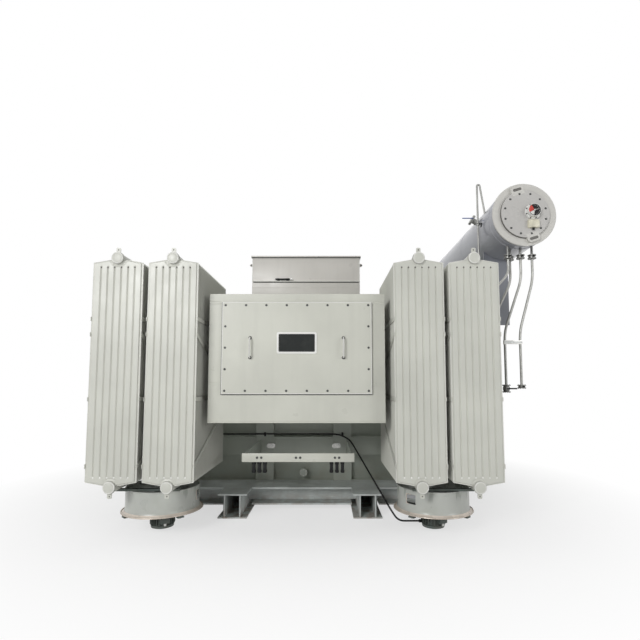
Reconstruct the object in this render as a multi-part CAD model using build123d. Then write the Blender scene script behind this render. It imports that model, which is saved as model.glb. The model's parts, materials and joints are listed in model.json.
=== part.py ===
from build123d import *
import os

# An oil-filled power transformer on two skids, in millimetres.
# The origin is the centre of the tank on the floor plane, +X to the conservator,
# +Y to the rear and +Z up. The cable box and two fans face the front, at -Y.

# Base
base_height = 285.0
skid_spacing = 1634.0
skid_length = 3354.0
skid_flange_width = 350.0
skid_box_width = 202.0
skid_plate = 16.0
cross_beam_y = 1093.0
cross_beam_length = 3900.0
cross_beam_height = 217.0
cross_beam_width = 448.0
cross_beam_plate = 20.0

# Tank
tank_length = 4000.0
tank_width = 1600.0
tank_height = 2535.0
rim_reach = 95.0
rim_thickness = 30.0
cover_thickness = 30.0
tank_end = tank_length / 2
tank_top = base_height + tank_height
cover_top = tank_top + cover_thickness
stiffener_width = 250.0
stiffener_depth = 80.0
stiffener_inner_x = 540.0
stiffener_outer_x = tank_end - 380.0
stiffener_end_y = 500.0
belt_rise = 348.0
belt_height = 247.0

# Fittings low on the tank's front wall
boss_x = 455.0
boss_length = 120.0
boss_height = 64.0
boss_thickness = 18.0
drain_rise = 112.0
drain_pipe_radius = 32.0
drain_reach = 110.0
drain_flange_radius = 58.0
drain_flange_thickness = 22.0

# Radiators
radiator_spacing = 578.0
radiator_outer_x = tank_end - 139.0
radiator_inner_x = radiator_outer_x - radiator_spacing
radiator_width = 520.0
radiator_depth = 1265.0
radiator_gap = 516.0
panel_count = 5
panel_thickness = 12.0
panel_shoulder = 46.0
header_lower_z = 571.0
header_spacing = tank_height - 185.0
header_radius = 61.0
header_sides = 8
header_stub = 22.0
header_cap_depth = 30.0
lug_width = 48.0
lug_height = 52.0
tie_height = 42.0
tie_thickness = 6.0
tie_levels = (0.375 * header_spacing, 0.728 * header_spacing)
tie_brace_front = (0.086 * header_spacing, 0.661 * header_spacing)
tie_brace_rear = (0.306 * header_spacing, 0.442 * header_spacing)

# Pipes from the radiator headers to the tank
header_pipe_radius = 52.0
header_pipe_sides = 6
header_flange_radius = 100.0
header_flange_thickness = 24.0
header_valve_length = 70.0
header_valve_radius = 78.0
gooseneck_reach = 200.0
gooseneck_drop = 270.0
gooseneck_mitre = 60.0

# Fans under the radiator banks
fan_x = radiator_inner_x + 225.0
fan_front_offset = 521.0
fan_bottom = 230.0
fan_height = 258.0
fan_ring_radius = 390.0
fan_ring_wall = 6.0
fan_mouth_radius = 434.0
fan_mouth_height = 60.0
fan_window_width = 120.0
fan_window_height = 100.0
fan_window_angles = (0.0, -139.0)
fan_bar_offset = 300.0
fan_bar_width = 60.0
fan_bar_overhang = 60.0
fan_arm_width = 56.0
fan_arm_thickness = 12.0
fan_arm_inner_radius = 70.0
fan_motor_radius = 135.0
fan_motor_sides = 16
fan_motor_bottom = 26.0
fan_motor_height = 192.0
fan_shaft_radius = 28.0
fan_shaft_length = 86.0
fan_hub_radius = 105.0
fan_hub_sides = 12
fan_hub_height = 110.0
fan_blade_count = 6
fan_blade_chord = 170.0
fan_blade_thickness = 8.0
fan_blade_pitch = 28.0
fan_blade_gap = 10.0

# Cable that runs along the tank wall and down to the right fan's motor
cable_radius = 10.0
cable_sides = 6
cable_level = 917.0
cable_standoff = 15.0
cable_start_x = 103.0 - radiator_inner_x
cable_turn_x = 600.0
cable_drop_x = fan_x - 474.0
cable_drop_z = 215.0
cable_foot_x = fan_x - 390.0
cable_motor_z = 90.0
cable_bends = (60.0, 260.0, 110.0, 90.0)
cable_clip_length = 30.0
cable_clip_height = 44.0
cable_gland_radius = 22.0
cable_gland_length = 26.0

# Cable box on the front
box_half_width = radiator_inner_x - radiator_width / 2 - 74.0
box_bottom = 1196.0
box_height = tank_height - 1145.0
box_depth = 700.0
box_wall = 8.0
box_front_offset = 1573.0
box_lip = 16.0
door_half_width = box_half_width - 144.0
door_bottom_rise = 305.0
door_height = box_height - 398.0
door_thickness = 25.0
door_overlap = 60.0
window_half_width = 195.0
window_height = 193.0
window_rise = 0.4546 * door_height
window_frame_width = 20.0
window_frame_thickness = 10.0
glass_thickness = 8.0
glass_recess = 10.0
handle_x = door_half_width - 303.0
handle_height = 217.0
handle_rise = 0.39 * door_height
handle_reach = 45.0
handle_radius = 10.0
throat_half_width = 400.0
throat_rise = 230.0
throat_height = box_height - 450.0
throat_wall = 8.0
gland_half_width = box_half_width - 329.0
gland_depth = 420.0
gland_thickness = 10.0

# Cable support rail below the cable box
rail_half_length = 632.0
rail_bottom = 737.0
rail_height = 96.0
rail_front_offset = 1284.0
rail_plate = 8.0
rail_shelf = 66.0
rail_bracket_inset = 30.0
rail_bracket_drop = 190.0
cleat_group_x = 437.0
cleat_pitch = 62.0
cleat_width = 50.0
cleat_height = 122.0
cleat_depth = 56.0

# Terminal box on the tank cover
top_box_half_width = 831.0
top_box_half_depth = 410.0
top_box_height = 743.0
top_lid_thickness = 22.0
top_lid_overhang = 18.0
ledge_rise = 334.0
ledge_reach = 30.0
ledge_thickness = 12.0
latch_x = -356.0
latch_length = 231.0
latch_rise = 358.0
latch_height = 24.0
latch_reach = 42.0
top_lug_size = 46.0
top_lug_thickness = 14.0
top_lug_drop = 90.0

# Conservator and its fittings
conservator_x = tank_end + 539.0
conservator_z = cover_top + 653.0
conservator_front_y = -2300.0
conservator_length = 3600.0
conservator_radius = 345.0
conservator_wall = 8.0
conservator_rim_radius = 359.0
conservator_rim_thickness = 22.0
hatch_radius = 271.5
hatch_thickness = 16.0
hatch_ear_angles = (107.0, 287.0)
hatch_ear_length = 150.0
hatch_ear_width = 80.0
hatch_slot_length = 85.0
hatch_slot_width = 28.0
gauge_dx = 78.0
gauge_dz = 23.0
gauge_flange_radius = 88.0
gauge_flange_thickness = 12.0
gauge_radius = 72.0
gauge_depth = 62.0
gauge_box_width = 122.0
gauge_box_height = 90.0
gauge_box_depth = 48.0
gauge_box_gap = 10.0
fit = 0.3

# Frame that carries the conservator from the tank's end
support_clearance = 15.0
support_beam_width = 150.0
support_beam_height = 200.0
support_beam_bottom = cover_top - 513.0
support_beam_front_y = -1720.0
support_beam_rear_y = 900.0
support_beam_wall = 10.0
saddle_thickness = 20.0
saddle_right_x = conservator_x + 45.0
saddle_top = conservator_z - 173.0
saddle_ys = (-1700.0, 700.0)

# Small pipes of the conservator
small_pipe_radius = 14.0
small_sides = 8
small_flange_radius = 46.0
small_flange_thickness = 12.0
small_valve_radius = 30.0
small_valve_length = 22.0
end_valve_length = 60.0
drop_y = -2150.0
drop_top = conservator_z - 463.0
drop_knee = conservator_z - 703.0
drop_elbow = conservator_z - 1303.0
drop_end = conservator_z - 1903.0
drop_upper_x = (conservator_x + 5.0, conservator_x + 137.0)
drop_lower_x = (conservator_x - 204.0, conservator_x - 31.0)
return_upper_x = (conservator_x - 138.0, conservator_x - 88.0)
return_y = (-2150.0, -2080.0)
return_knee = (conservator_z - 640.0, conservator_z - 721.0)
return_level = (cover_top - 210.0, cover_top - 600.0)
return_side_x = tank_end + 190.0
return_entry_y = -710.0
clip_drop = 1438.0
clip_height = 26.0
clip_thickness = 8.0
breather_x = tank_end + 155.0
breather_y = -1900.0
breather_top = conservator_z + 532.0
breather_foot = conservator_z - 2003.0
breather_radius = 11.0
breather_turn_x = tank_end + 187.0
breather_end_x = tank_end + 252.0
breather_end_z = conservator_z + 97.0
breather_can_radius = 72.0
breather_can_height = 330.0
breather_can_clearance = 14.0
breather_neck = 160.0
breather_slant = 170.0
breather_stay_z = conservator_z + 27.0
stay_height = 30.0
stay_thickness = 6.0
filler_angle = 150.0
filler_y = -1600.0
filler_radius = 30.0
filler_reach = 90.0
filler_flange_radius = 62.0
filler_flange_thickness = 16.0
relay_pipe_radius = 40.0
relay_x = conservator_x - 159.0
relay_knee_z = cover_top + 210.0
relay_entry_x = tank_end - 300.0
relay_body_length = 190.0
relay_body_size = 170.0
relay_mitre = 60.0

# Levels and faces that follow from the sizes above
tank_front = -tank_width / 2
stiffener_face = tank_front - stiffener_depth
post_centres = (-stiffener_outer_x, -stiffener_inner_x, stiffener_inner_x, stiffener_outer_x)
end_stiffener_face = tank_end + stiffener_depth
belt_bottom = base_height + belt_rise
belt_top = belt_bottom + belt_height
radiator_rear = tank_front - radiator_gap
radiator_front = radiator_rear - radiator_depth
header_upper_z = header_lower_z + header_spacing
header_bottom = header_lower_z - header_radius
radiator_centres = (-radiator_outer_x, -radiator_inner_x, radiator_inner_x, radiator_outer_x)
fan_y = radiator_front + fan_front_offset
fan_top = fan_bottom + fan_height
box_front = tank_front - box_front_offset
box_rear = box_front + box_depth
box_top = box_bottom + box_height
door_bottom = box_bottom + door_bottom_rise
door_front = box_front - door_thickness
rail_front = tank_front - rail_front_offset
conservator_bottom = conservator_z - conservator_radius
conservator_rear_y = conservator_front_y + conservator_length
radiator_side = radiator_outer_x + radiator_width / 2 + tie_thickness
breather_can_x = radiator_side + breather_can_clearance + breather_can_radius


def block(x0, x1, y0, y1, z0, z1):
    """A box given by its low and high faces."""
    return Pos((x0 + x1) / 2, (y0 + y1) / 2, (z0 + z1) / 2) * Box(x1 - x0, y1 - y0, z1 - z0)


def disc(x, y, z, radius, length, axis="Z"):
    """A round bar that starts at a point and runs along one axis."""
    turn = {"X": Rot(0, 90, 0), "Y": Rot(-90, 0, 0), "Z": Rot(0, 0, 0)}[axis]
    low = (Align.CENTER, Align.CENTER, Align.MIN)
    return Pos(x, y, z) * turn * Cylinder(radius, length, align=low)


def prism(x, y, z, radius, length, sides, axis="Y"):
    """A bar of few flats that starts at a point and runs along one axis."""
    turn = {"X": Rot(0, 90, 0), "Y": Rot(-90, 0, 0), "Z": Rot(0, 0, 0)}[axis]
    face = RegularPolygon(radius, sides, major_radius=False, rotation=180 / sides)
    return Pos(x, y, z) * turn * extrude(face, amount=length)


def side_plate(points, x, thickness):
    """A plate across X from an outline of Y and Z points."""
    face = make_face(Polyline(*points, close=True))
    return Pos(x, 0, 0) * extrude(Plane.YZ * face, amount=thickness)


def tube_run(points, radius):
    """A bar of few flats along points, with mitred corners."""
    path = Polyline(*points)
    start = Plane(origin=path @ 0, z_dir=path % 0)
    face = RegularPolygon(radius, small_sides, major_radius=False, rotation=180 / small_sides)
    return sweep(start * face, path=path, transition=Transition.RIGHT)


def rear(shape):
    """The same thing on the rear of the tank."""
    return mirror(shape, about=Plane.XZ)


def save(name, *shapes):
    """Write one node, which may hold several separate solids."""
    solids = [solid for shape in shapes for solid in shape.solids()]
    export_step(Compound(solids), "parts/" + name + ".step")


def skid():
    """A box beam with wide flanges and open ends."""
    clear_height = base_height - 2 * skid_plate
    web = Rectangle(skid_box_width, base_height)
    flange = Rectangle(skid_flange_width, skid_plate)
    shift = base_height / 2 - skid_plate / 2
    section = web + Pos(0, shift) * flange + Pos(0, -shift) * flange
    section -= Rectangle(skid_box_width - 2 * skid_plate, clear_height)
    return Pos(0, 0, base_height / 2) * extrude(Plane.XZ * section, amount=skid_length / 2, both=True)


def cross_beam_part(x0, x1, left_open, right_open):
    """One length of the cross beam, with its flanges cut back at a skid."""
    cope = (skid_flange_width - skid_box_width) / 2
    half_width = cross_beam_width / 2
    flange_low = x0 if left_open else x0 + cope
    flange_high = x1 if right_open else x1 - cope
    low_face = base_height - cross_beam_height
    web_low = max(low_face + cross_beam_plate, skid_plate)
    web_high = base_height - max(cross_beam_plate, skid_plate)
    y0 = -cross_beam_y - half_width
    y1 = -cross_beam_y + half_width
    web_y0 = -cross_beam_y - cross_beam_plate / 2
    web_y1 = -cross_beam_y + cross_beam_plate / 2
    part = block(x0, x1, web_y0, web_y1, web_low, web_high)
    part += block(flange_low, flange_high, web_y0, web_y1, low_face, base_height)
    part += block(flange_low, flange_high, y0, y1, base_height - cross_beam_plate, base_height)
    part += block(flange_low, flange_high, y0, y1, low_face, low_face + cross_beam_plate)
    return part


def cross_beam():
    """The beam in three lengths, between the skids and outside them."""
    inner = skid_spacing / 2 - skid_box_width / 2
    outer = skid_spacing / 2 + skid_box_width / 2
    end = cross_beam_length / 2
    return [
        cross_beam_part(-end, -outer, True, False),
        cross_beam_part(-inner, inner, False, False),
        cross_beam_part(outer, end, False, True),
    ]


def tank_body():
    """The closed tank with a flat rim round its top."""
    body = block(-tank_end, tank_end, tank_front, -tank_front, base_height, tank_top)
    body += cover_outline(tank_top - rim_thickness, tank_top)
    return body


def cover_outline(z0, z1):
    """A plate as wide as the tank rim."""
    return block(-tank_end - rim_reach, tank_end + rim_reach,
                 tank_front - rim_reach, -tank_front + rim_reach, z0, z1)


def front_posts():
    """Four upright boxes on the long wall."""
    half = stiffener_width / 2
    top = tank_top - rim_thickness
    return [block(x - half, x + half, stiffener_face, tank_front, base_height, top) for x in post_centres]


def end_posts():
    """Two upright boxes on the end wall."""
    half = stiffener_width / 2
    top = tank_top - rim_thickness
    places = (-stiffener_end_y, stiffener_end_y)
    return [block(tank_end, end_stiffener_face, y - half, y + half, base_height, top) for y in places]


def spans_between(low, high, centres, width):
    """The stretches from low to high that pieces of one width leave free."""
    edges = [low]
    for centre in centres:
        edges += [centre - width / 2, centre + width / 2]
    edges.append(high)
    return list(zip(edges[::2], edges[1::2]))


def front_belts():
    """The level box belt on the long wall, in lengths between the posts."""
    spans = spans_between(-tank_end, tank_end, post_centres, stiffener_width)
    return [block(x0, x1, stiffener_face, tank_front, belt_bottom, belt_top) for x0, x1 in spans]


def end_belts():
    """The level box belt on the end wall, in lengths between the posts."""
    spans = spans_between(tank_front, -tank_front, (-stiffener_end_y, stiffener_end_y), stiffener_width)
    return [block(tank_end, end_stiffener_face, y0, y1, belt_bottom, belt_top) for y0, y1 in spans]


def tank_fittings():
    """Two earthing pads on the belt and the drain below them."""
    middle = (belt_bottom + belt_top) / 2
    pad_face = SlotOverall(boss_length, boss_height)
    pads = []
    for x in (-boss_x, boss_x):
        pads.append(Pos(x, stiffener_face, middle) * Rot(90, 0, 0) * extrude(pad_face, amount=boss_thickness))
    z = base_height + drain_rise
    drain = prism(0, tank_front - drain_reach, z, drain_pipe_radius, drain_reach, small_sides)
    end = tank_front - drain_reach - drain_flange_thickness
    drain += prism(0, end, z, drain_flange_radius, drain_flange_thickness, small_sides)
    return pads + [drain]


def radiator():
    """One radiator centred on X, with its panels fused to both headers."""
    half = radiator_width / 2
    low, high = header_lower_z, header_upper_z
    outline = [
        (-half, low + panel_shoulder), (0, low), (half, low + panel_shoulder),
        (half, high - panel_shoulder), (0, high), (-half, high - panel_shoulder),
    ]
    face = Plane.XZ * make_face(Polyline(*outline, close=True))
    pitch = (radiator_depth - panel_thickness) / (panel_count - 1)
    pieces = []
    for index in range(panel_count):
        y = radiator_front + panel_thickness + index * pitch
        pieces.append(Pos(0, y, 0) * extrude(face, amount=panel_thickness))
    for z in (low, high):
        length = radiator_depth + header_stub
        pieces.append(prism(0, radiator_front, z, header_radius, length, header_sides))
        pieces.append(disc(0, radiator_front - header_cap_depth, z, header_radius, header_cap_depth, "Y"))
    wide = lug_width / 2
    y0, y1 = radiator_front, radiator_front + panel_thickness
    top = high + header_radius
    pieces.append(block(-wide, wide, y0, y1, top, top + lug_height))
    pieces.append(block(-wide, wide, y0, y1, header_bottom - lug_height, header_bottom))
    return pieces[0].fuse(*pieces[1:])


def radiator_ties(x):
    """Level and slanting flats on both sides of one radiator."""
    ties = []
    for side in (-1, 1):
        face = x + side * radiator_width / 2
        start = face if side > 0 else face - tie_thickness
        for level in tie_levels:
            z = header_lower_z + level
            ties.append(tie_flat(start, z, z))
        for z_front, z_rear in zip(tie_brace_front, tie_brace_rear):
            ties.append(tie_flat(start, header_lower_z + z_front, header_lower_z + z_rear))
    return ties


def tie_flat(x, z_front, z_rear):
    """A flat bar along a radiator's side, level or sloping."""
    half = tie_height / 2
    points = [
        (radiator_front, z_front - half), (radiator_rear, z_rear - half),
        (radiator_rear, z_rear + half), (radiator_front, z_front + half),
    ]
    return side_plate(points, x, tie_thickness)


def header_valve(x, y, z):
    """The flanged shut-off valve behind a header."""
    thick = header_flange_thickness
    body = prism(x, y, z, header_flange_radius, thick, header_sides)
    body += prism(x, y + thick, z, header_valve_radius, header_valve_length, header_pipe_sides)
    last = y + thick + header_valve_length
    body += prism(x, last, z, header_flange_radius, thick, header_sides)
    return body, last + thick


def lower_pipe(x):
    """A straight pipe from the lower header to the tank wall."""
    valve, y = header_valve(x, radiator_rear + header_stub, header_lower_z)
    return valve + prism(x, y, header_lower_z, header_pipe_radius, tank_front - y, header_pipe_sides)


def upper_pipe(x):
    """A pipe that drops from the upper header to the tank wall below the rim."""
    valve, y = header_valve(x, radiator_rear + header_stub, header_upper_z)
    neck = tank_front - gooseneck_reach
    low = header_upper_z - gooseneck_drop
    cut = gooseneck_mitre
    points = [
        (x, y, header_upper_z), (x, neck - cut, header_upper_z), (x, neck, header_upper_z - cut),
        (x, neck, low + cut), (x, neck + cut, low), (x, tank_front, low),
    ]
    path = Polyline(*points)
    face = RegularPolygon(header_pipe_radius, header_pipe_sides, major_radius=False)
    start = Plane(origin=points[0], x_dir=(1, 0, 0), z_dir=(0, 1, 0))
    return valve + sweep(start * face, path=path, transition=Transition.RIGHT)


def fan_ring(x, window_angle):
    """The round duct with a flared mouth and a hand window."""
    inner = fan_ring_radius - fan_ring_wall
    flare = fan_bottom + fan_mouth_height
    lip = fan_ring_wall
    points = [
        (inner, fan_top), (fan_ring_radius, fan_top),
        (fan_ring_radius, flare), (fan_mouth_radius, fan_bottom),
        (fan_mouth_radius - lip, fan_bottom), (inner, flare),
    ]
    ring = revolve(Plane.XZ * make_face(Polyline(*points, close=True)), axis=Axis.Z)
    middle = (fan_top + flare) / 2
    cutter = Box(fan_ring_radius, fan_window_width, fan_window_height, align=(Align.MIN, Align.CENTER, Align.CENTER))
    ring -= Rot(0, 0, window_angle) * Pos(fan_ring_radius / 2 + fan_ring_wall, 0, middle) * cutter
    return Pos(x, fan_y, 0) * ring


def fan_bars(x0, x1):
    """Two bars that carry one fan from the lower headers of its bank."""
    half = fan_bar_width / 2
    bars = []
    for y in (fan_y - fan_bar_offset, fan_y + fan_bar_offset):
        bars.append(block(x0 - fan_bar_overhang, x1 + fan_bar_overhang, y - half, y + half, fan_top, header_bottom))
    return bars


def fan_motor(x):
    """The motor that hangs below the mouth, with its shaft."""
    body = prism(0, 0, fan_motor_bottom, fan_motor_radius, fan_motor_height, fan_motor_sides, "Z")
    motor_top = fan_motor_bottom + fan_motor_height
    body += prism(0, 0, motor_top, fan_shaft_radius, fan_shaft_length, small_sides, "Z")
    return Pos(x, fan_y, 0) * body


def fan_arms(x):
    """Four flats from the top of the motor to the lip of the mouth."""
    half = fan_arm_width / 2
    low = fan_bottom - fan_arm_thickness
    arm = block(fan_arm_inner_radius, fan_mouth_radius, -half, half, low, fan_bottom)
    return [Pos(x, fan_y, 0) * Rot(0, 0, angle) * arm for angle in (45, 135, 225, 315)]


def fan_impeller(x):
    """The hub and its pitched blades."""
    low = fan_motor_bottom + fan_motor_height + fan_shaft_length
    wheel = prism(0, 0, low, fan_hub_radius, fan_hub_height, fan_hub_sides, "Z")
    tip = fan_ring_radius - fan_ring_wall - fan_blade_gap
    middle = low + fan_hub_height / 2
    for index in range(fan_blade_count):
        blade = Box(tip - fan_hub_radius / 2, fan_blade_chord, fan_blade_thickness,
                    align=(Align.MIN, Align.CENTER, Align.CENTER))
        blade = Pos(fan_hub_radius / 2, 0, middle) * Rot(fan_blade_pitch, 0, 0) * blade
        wheel += Rot(0, 0, index * 360 / fan_blade_count) * blade
    return Pos(x, fan_y, 0) * wheel


def fan_cable():
    """The clipped cable from its gland on the wall to the right fan's motor."""
    y = stiffener_face - cable_standoff
    points = [
        (cable_start_x, tank_front - cable_gland_length, cable_level), (cable_start_x, y, cable_level),
        (cable_turn_x, y, cable_level), (cable_drop_x, fan_y, cable_drop_z),
        (cable_foot_x, fan_y, cable_motor_z), (fan_x - fan_motor_radius, fan_y, cable_motor_z),
    ]
    path = FilletPolyline(*points, radius=cable_bends)
    start = Plane(origin=path @ 0, z_dir=path % 0)
    return sweep(start * RegularPolygon(cable_radius, cable_sides, major_radius=False), path=path)


def cable_clips():
    """The gland on the wall and the saddles on the posts."""
    y = stiffener_face - cable_standoff + cable_radius + fit
    half, rise = cable_clip_length / 2, cable_clip_height / 2
    low, high = cable_level - rise, cable_level + rise
    centres = (-stiffener_inner_x, stiffener_inner_x)
    clips = [block(x - half, x + half, y, stiffener_face, low, high) for x in centres]
    gland_y = tank_front - cable_gland_length
    gland = prism(cable_start_x, gland_y, cable_level, cable_gland_radius, cable_gland_length, cable_sides)
    return clips + [gland]


def cable_box():
    """The sheet metal box, open behind its bolted door and at the throat."""
    w = box_wall
    box = block(-box_half_width, box_half_width, box_front, box_rear, box_bottom, box_top)
    box -= block(-box_half_width + w, box_half_width - w, box_front + w, box_rear - w, box_bottom + w, box_top - w)
    opening_half = door_half_width - door_overlap
    opening_low = door_bottom + door_overlap
    opening_high = door_bottom + door_height - door_overlap
    box -= block(-opening_half, opening_half, box_front, box_front + w, opening_low, opening_high)
    inner = throat_half_width - throat_wall
    low = box_bottom + throat_rise + throat_wall
    high = box_bottom + throat_rise + throat_height - throat_wall
    box -= block(-inner, inner, box_rear - w, box_rear, low, high)
    box += block(-box_half_width, box_half_width, box_front - box_lip, box_front, box_bottom, box_bottom + w)
    return box


def window_block(half_width, margin, y0, y1):
    """A block round the middle of the window."""
    low = door_bottom + window_rise - margin
    high = low + window_height + 2 * margin
    return block(-half_width - margin, half_width + margin, y0, y1, low, high)


def cable_box_door():
    """The bolted door with a raised frame round its window."""
    door = block(-door_half_width, door_half_width, door_front, box_front, door_bottom, door_bottom + door_height)
    frame_front = door_front - window_frame_thickness
    door += window_block(window_half_width, window_frame_width, frame_front, door_front)
    door -= window_block(window_half_width, 0, frame_front, box_front)
    return door


def window_glass():
    """The pane in the door's window."""
    y = door_front - window_frame_thickness + glass_recess
    return window_block(window_half_width, 0, y, y + glass_thickness)


def door_handle(x):
    """An upright bar handle on two short legs."""
    low = door_bottom + handle_rise
    out = door_front - handle_reach
    points = [(x, door_front, low), (x, out, low), (x, out, low + handle_height), (x, door_front, low + handle_height)]
    return tube_run(points, handle_radius)


def cable_throat():
    """The square duct between the cable box and the tank wall."""
    t = throat_wall
    low = box_bottom + throat_rise
    high = low + throat_height
    duct = block(-throat_half_width, throat_half_width, box_rear, tank_front, low, high)
    duct -= block(-throat_half_width + t, throat_half_width - t, box_rear, tank_front, low + t, high - t)
    return duct


def gland_plate():
    """The plate below the cable box where cables come in."""
    middle = (box_front + box_rear) / 2
    half = gland_depth / 2
    return block(-gland_half_width, gland_half_width, middle - half, middle + half,
                 box_bottom - gland_thickness, box_bottom)


def cable_rail():
    """The angle that the cable clamps hang from."""
    high = rail_bottom + rail_height
    back = rail_front + rail_plate
    rail = block(-rail_half_length, rail_half_length, rail_front, back, rail_bottom, high)
    rail += block(-rail_half_length, rail_half_length, rail_front, rail_front + rail_shelf,
                  rail_bottom, rail_bottom + rail_plate)
    return rail


def rail_brackets():
    """Two tapered plates from the tank's belt to the angle."""
    high = rail_bottom + rail_height
    back = rail_front + rail_plate
    shelf = rail_front + rail_shelf
    low = rail_bottom + rail_plate
    points = [(back, high), (back, low), (shelf, low), (stiffener_face, high - rail_bracket_drop),
              (stiffener_face, high)]
    place = rail_half_length - rail_bracket_inset
    return [side_plate(points, x, rail_plate) for x in (-place, place - rail_plate)]


def cable_cleats():
    """Two groups of three clamps that hang below the rail."""
    cleats = []
    y0 = rail_front + rail_plate
    for group in (-cleat_group_x, cleat_group_x):
        for step in (-1, 0, 1):
            x = group + step * cleat_pitch
            half = cleat_width / 2
            cleats.append(block(x - half, x + half, y0, y0 + cleat_depth, rail_bottom - cleat_height, rail_bottom))
    return cleats


def top_box():
    """The terminal box on the cover, with a ledge and lifting lugs."""
    top = cover_top + top_box_height - top_lid_thickness
    front = -top_box_half_depth
    box = block(-top_box_half_width, top_box_half_width, front, -front, cover_top, top)
    ledge = cover_top + ledge_rise
    box += block(-top_box_half_width, top_box_half_width, front - ledge_reach, front, ledge, ledge + ledge_thickness)
    low = top - top_lug_drop - top_lug_size
    for side in (-1, 1):
        for y in (front + top_lug_size, -front - top_lug_size - top_lug_thickness):
            x0, x1 = sorted((side * top_box_half_width, side * (top_box_half_width + top_lug_size)))
            box += block(x0, x1, y, y + top_lug_thickness, low, low + top_lug_size)
    return box


def top_box_lid():
    """The flat lid with a small overhang."""
    high = cover_top + top_box_height
    half = top_box_half_width + top_lid_overhang
    deep = top_box_half_depth + top_lid_overhang
    return block(-half, half, -deep, deep, high - top_lid_thickness, high)


def top_box_latch():
    """The long latch handle across the front."""
    face = -top_box_half_depth
    low = cover_top + latch_rise
    x0, x1 = latch_x - latch_length / 2, latch_x + latch_length / 2
    foot = latch_length / 8
    bar = block(x0, x1, face - latch_reach, face - latch_reach / 2, low, low + latch_height)
    for x in (x0 + foot, x1 - 2 * foot):
        bar += block(x, x + foot, face - latch_reach / 2, face, low, low + latch_height)
    return bar


def conservator_shell():
    """The round shell, closed at the rear."""
    r, w = conservator_radius, conservator_wall
    start = conservator_front_y + conservator_rim_thickness
    length = conservator_rear_y - start
    shell = disc(conservator_x, start, conservator_z, r, length, "Y")
    shell -= disc(conservator_x, start, conservator_z, r - w, length - w, "Y")
    return shell


def conservator_rim():
    """The flange that closes the front of the shell."""
    y = conservator_front_y
    return disc(conservator_x, y, conservator_z, conservator_rim_radius, conservator_rim_thickness, "Y")


def conservator_hatch():
    """The bolted cover with two slotted ears for lifting."""
    face = Circle(hatch_radius)
    places = [Rot(0, 0, angle) * Pos(hatch_radius, 0) * Rot(0, 0, 90) for angle in hatch_ear_angles]
    for place in places:
        face += place * SlotOverall(hatch_ear_length, hatch_ear_width)
    for place in places:
        face -= place * SlotOverall(hatch_slot_length, hatch_slot_width)
    plate = extrude(Plane.XZ * face, amount=hatch_thickness)
    return Pos(conservator_x, conservator_front_y, conservator_z) * plate


def oil_gauge():
    """The round level gauge on its own flange."""
    x, z = conservator_x + gauge_dx, conservator_z + gauge_dz
    y = conservator_front_y - hatch_thickness - gauge_flange_thickness
    gauge = disc(x, y, z, gauge_flange_radius, gauge_flange_thickness, "Y")
    gauge += disc(x, y - gauge_depth, z, gauge_radius, gauge_depth, "Y")
    return gauge


def gauge_box():
    """The small wiring box below the gauge."""
    x = conservator_x + gauge_dx
    high = conservator_z + gauge_dz - gauge_flange_radius - gauge_box_gap
    y = conservator_front_y - hatch_thickness
    half = gauge_box_width / 2
    return block(x - half, x + half, y - gauge_box_depth, y, high - gauge_box_height, high)


def shell_cutter():
    """The space of the shell, with a little clearance."""
    return disc(conservator_x, conservator_front_y, conservator_z, conservator_radius + fit, conservator_length, "Y")


def conservator_support():
    """A beam beside the radiators and two saddle plates below the shell."""
    x0 = radiator_outer_x + radiator_width / 2 + support_clearance
    x1 = x0 + support_beam_width
    z0, z1 = support_beam_bottom, support_beam_bottom + support_beam_height
    y0, y1 = support_beam_front_y, support_beam_rear_y
    w = support_beam_wall
    frame = block(x0, x1, y0, y1, z0, z1) - block(x0 + w, x1 - w, y0, y1, z0 + w, z1 - w)
    half = stiffener_width / 2
    for y in (-stiffener_end_y, stiffener_end_y):
        frame += block(end_stiffener_face, x0, y - half, y + half, z0, z1)
    for y in saddle_ys:
        frame += block(x1, saddle_right_x, y, y + saddle_thickness, z0, saddle_top)
    return frame - shell_cutter()


def small_bar(x, y, z, radius, length):
    """One upright bar of few flats."""
    return prism(x, y, z, radius, length, small_sides, "Z")


def valve_stub(x, y, top, bottom, length):
    """A flanged cock on a short stub, with the cock's body of a given length."""
    body_low = bottom + small_flange_thickness
    stub = small_bar(x, y, bottom, small_pipe_radius, top - bottom)
    stub += small_bar(x, y, bottom, small_flange_radius, small_flange_thickness)
    stub += small_bar(x, y, body_low, small_valve_radius, length)
    return stub + small_bar(x, y, body_low + length, small_flange_radius, small_flange_thickness)


def conservator_valves():
    """Four cocks below the shell's front end."""
    places = [(x, drop_y) for x in drop_upper_x] + list(zip(return_upper_x, return_y))
    cutter = shell_cutter()
    return [valve_stub(x, y, conservator_z, drop_top, small_valve_length) - cutter for x, y in places]


def drop_pipes():
    """Two pipes that run down beside the radiators to end valves."""
    pipes = []
    for x_high, x_low in zip(drop_upper_x, drop_lower_x):
        points = [(x_high, drop_y, drop_top), (x_high, drop_y, drop_knee),
                  (x_low, drop_y, drop_elbow), (x_low, drop_y, drop_end)]
        pipes.append(tube_run(points, small_pipe_radius))
    return pipes


def drop_valves():
    """The valves that close the lower ends of the two pipes."""
    low = drop_end - 2 * small_flange_thickness - end_valve_length
    return [valve_stub(x, drop_y, drop_end, low, end_valve_length) for x in drop_lower_x]


def return_pipes():
    """Two pipes that run back beside the radiators to the tank's end wall."""
    pipes = []
    for x, y, knee, level in zip(return_upper_x, return_y, return_knee, return_level):
        points = [(x, y, drop_top), (x, y, knee), (return_side_x, y, level),
                  (return_side_x, return_entry_y, level), (tank_end, return_entry_y, level)]
        pipes.append(tube_run(points, small_pipe_radius))
    return pipes


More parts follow.
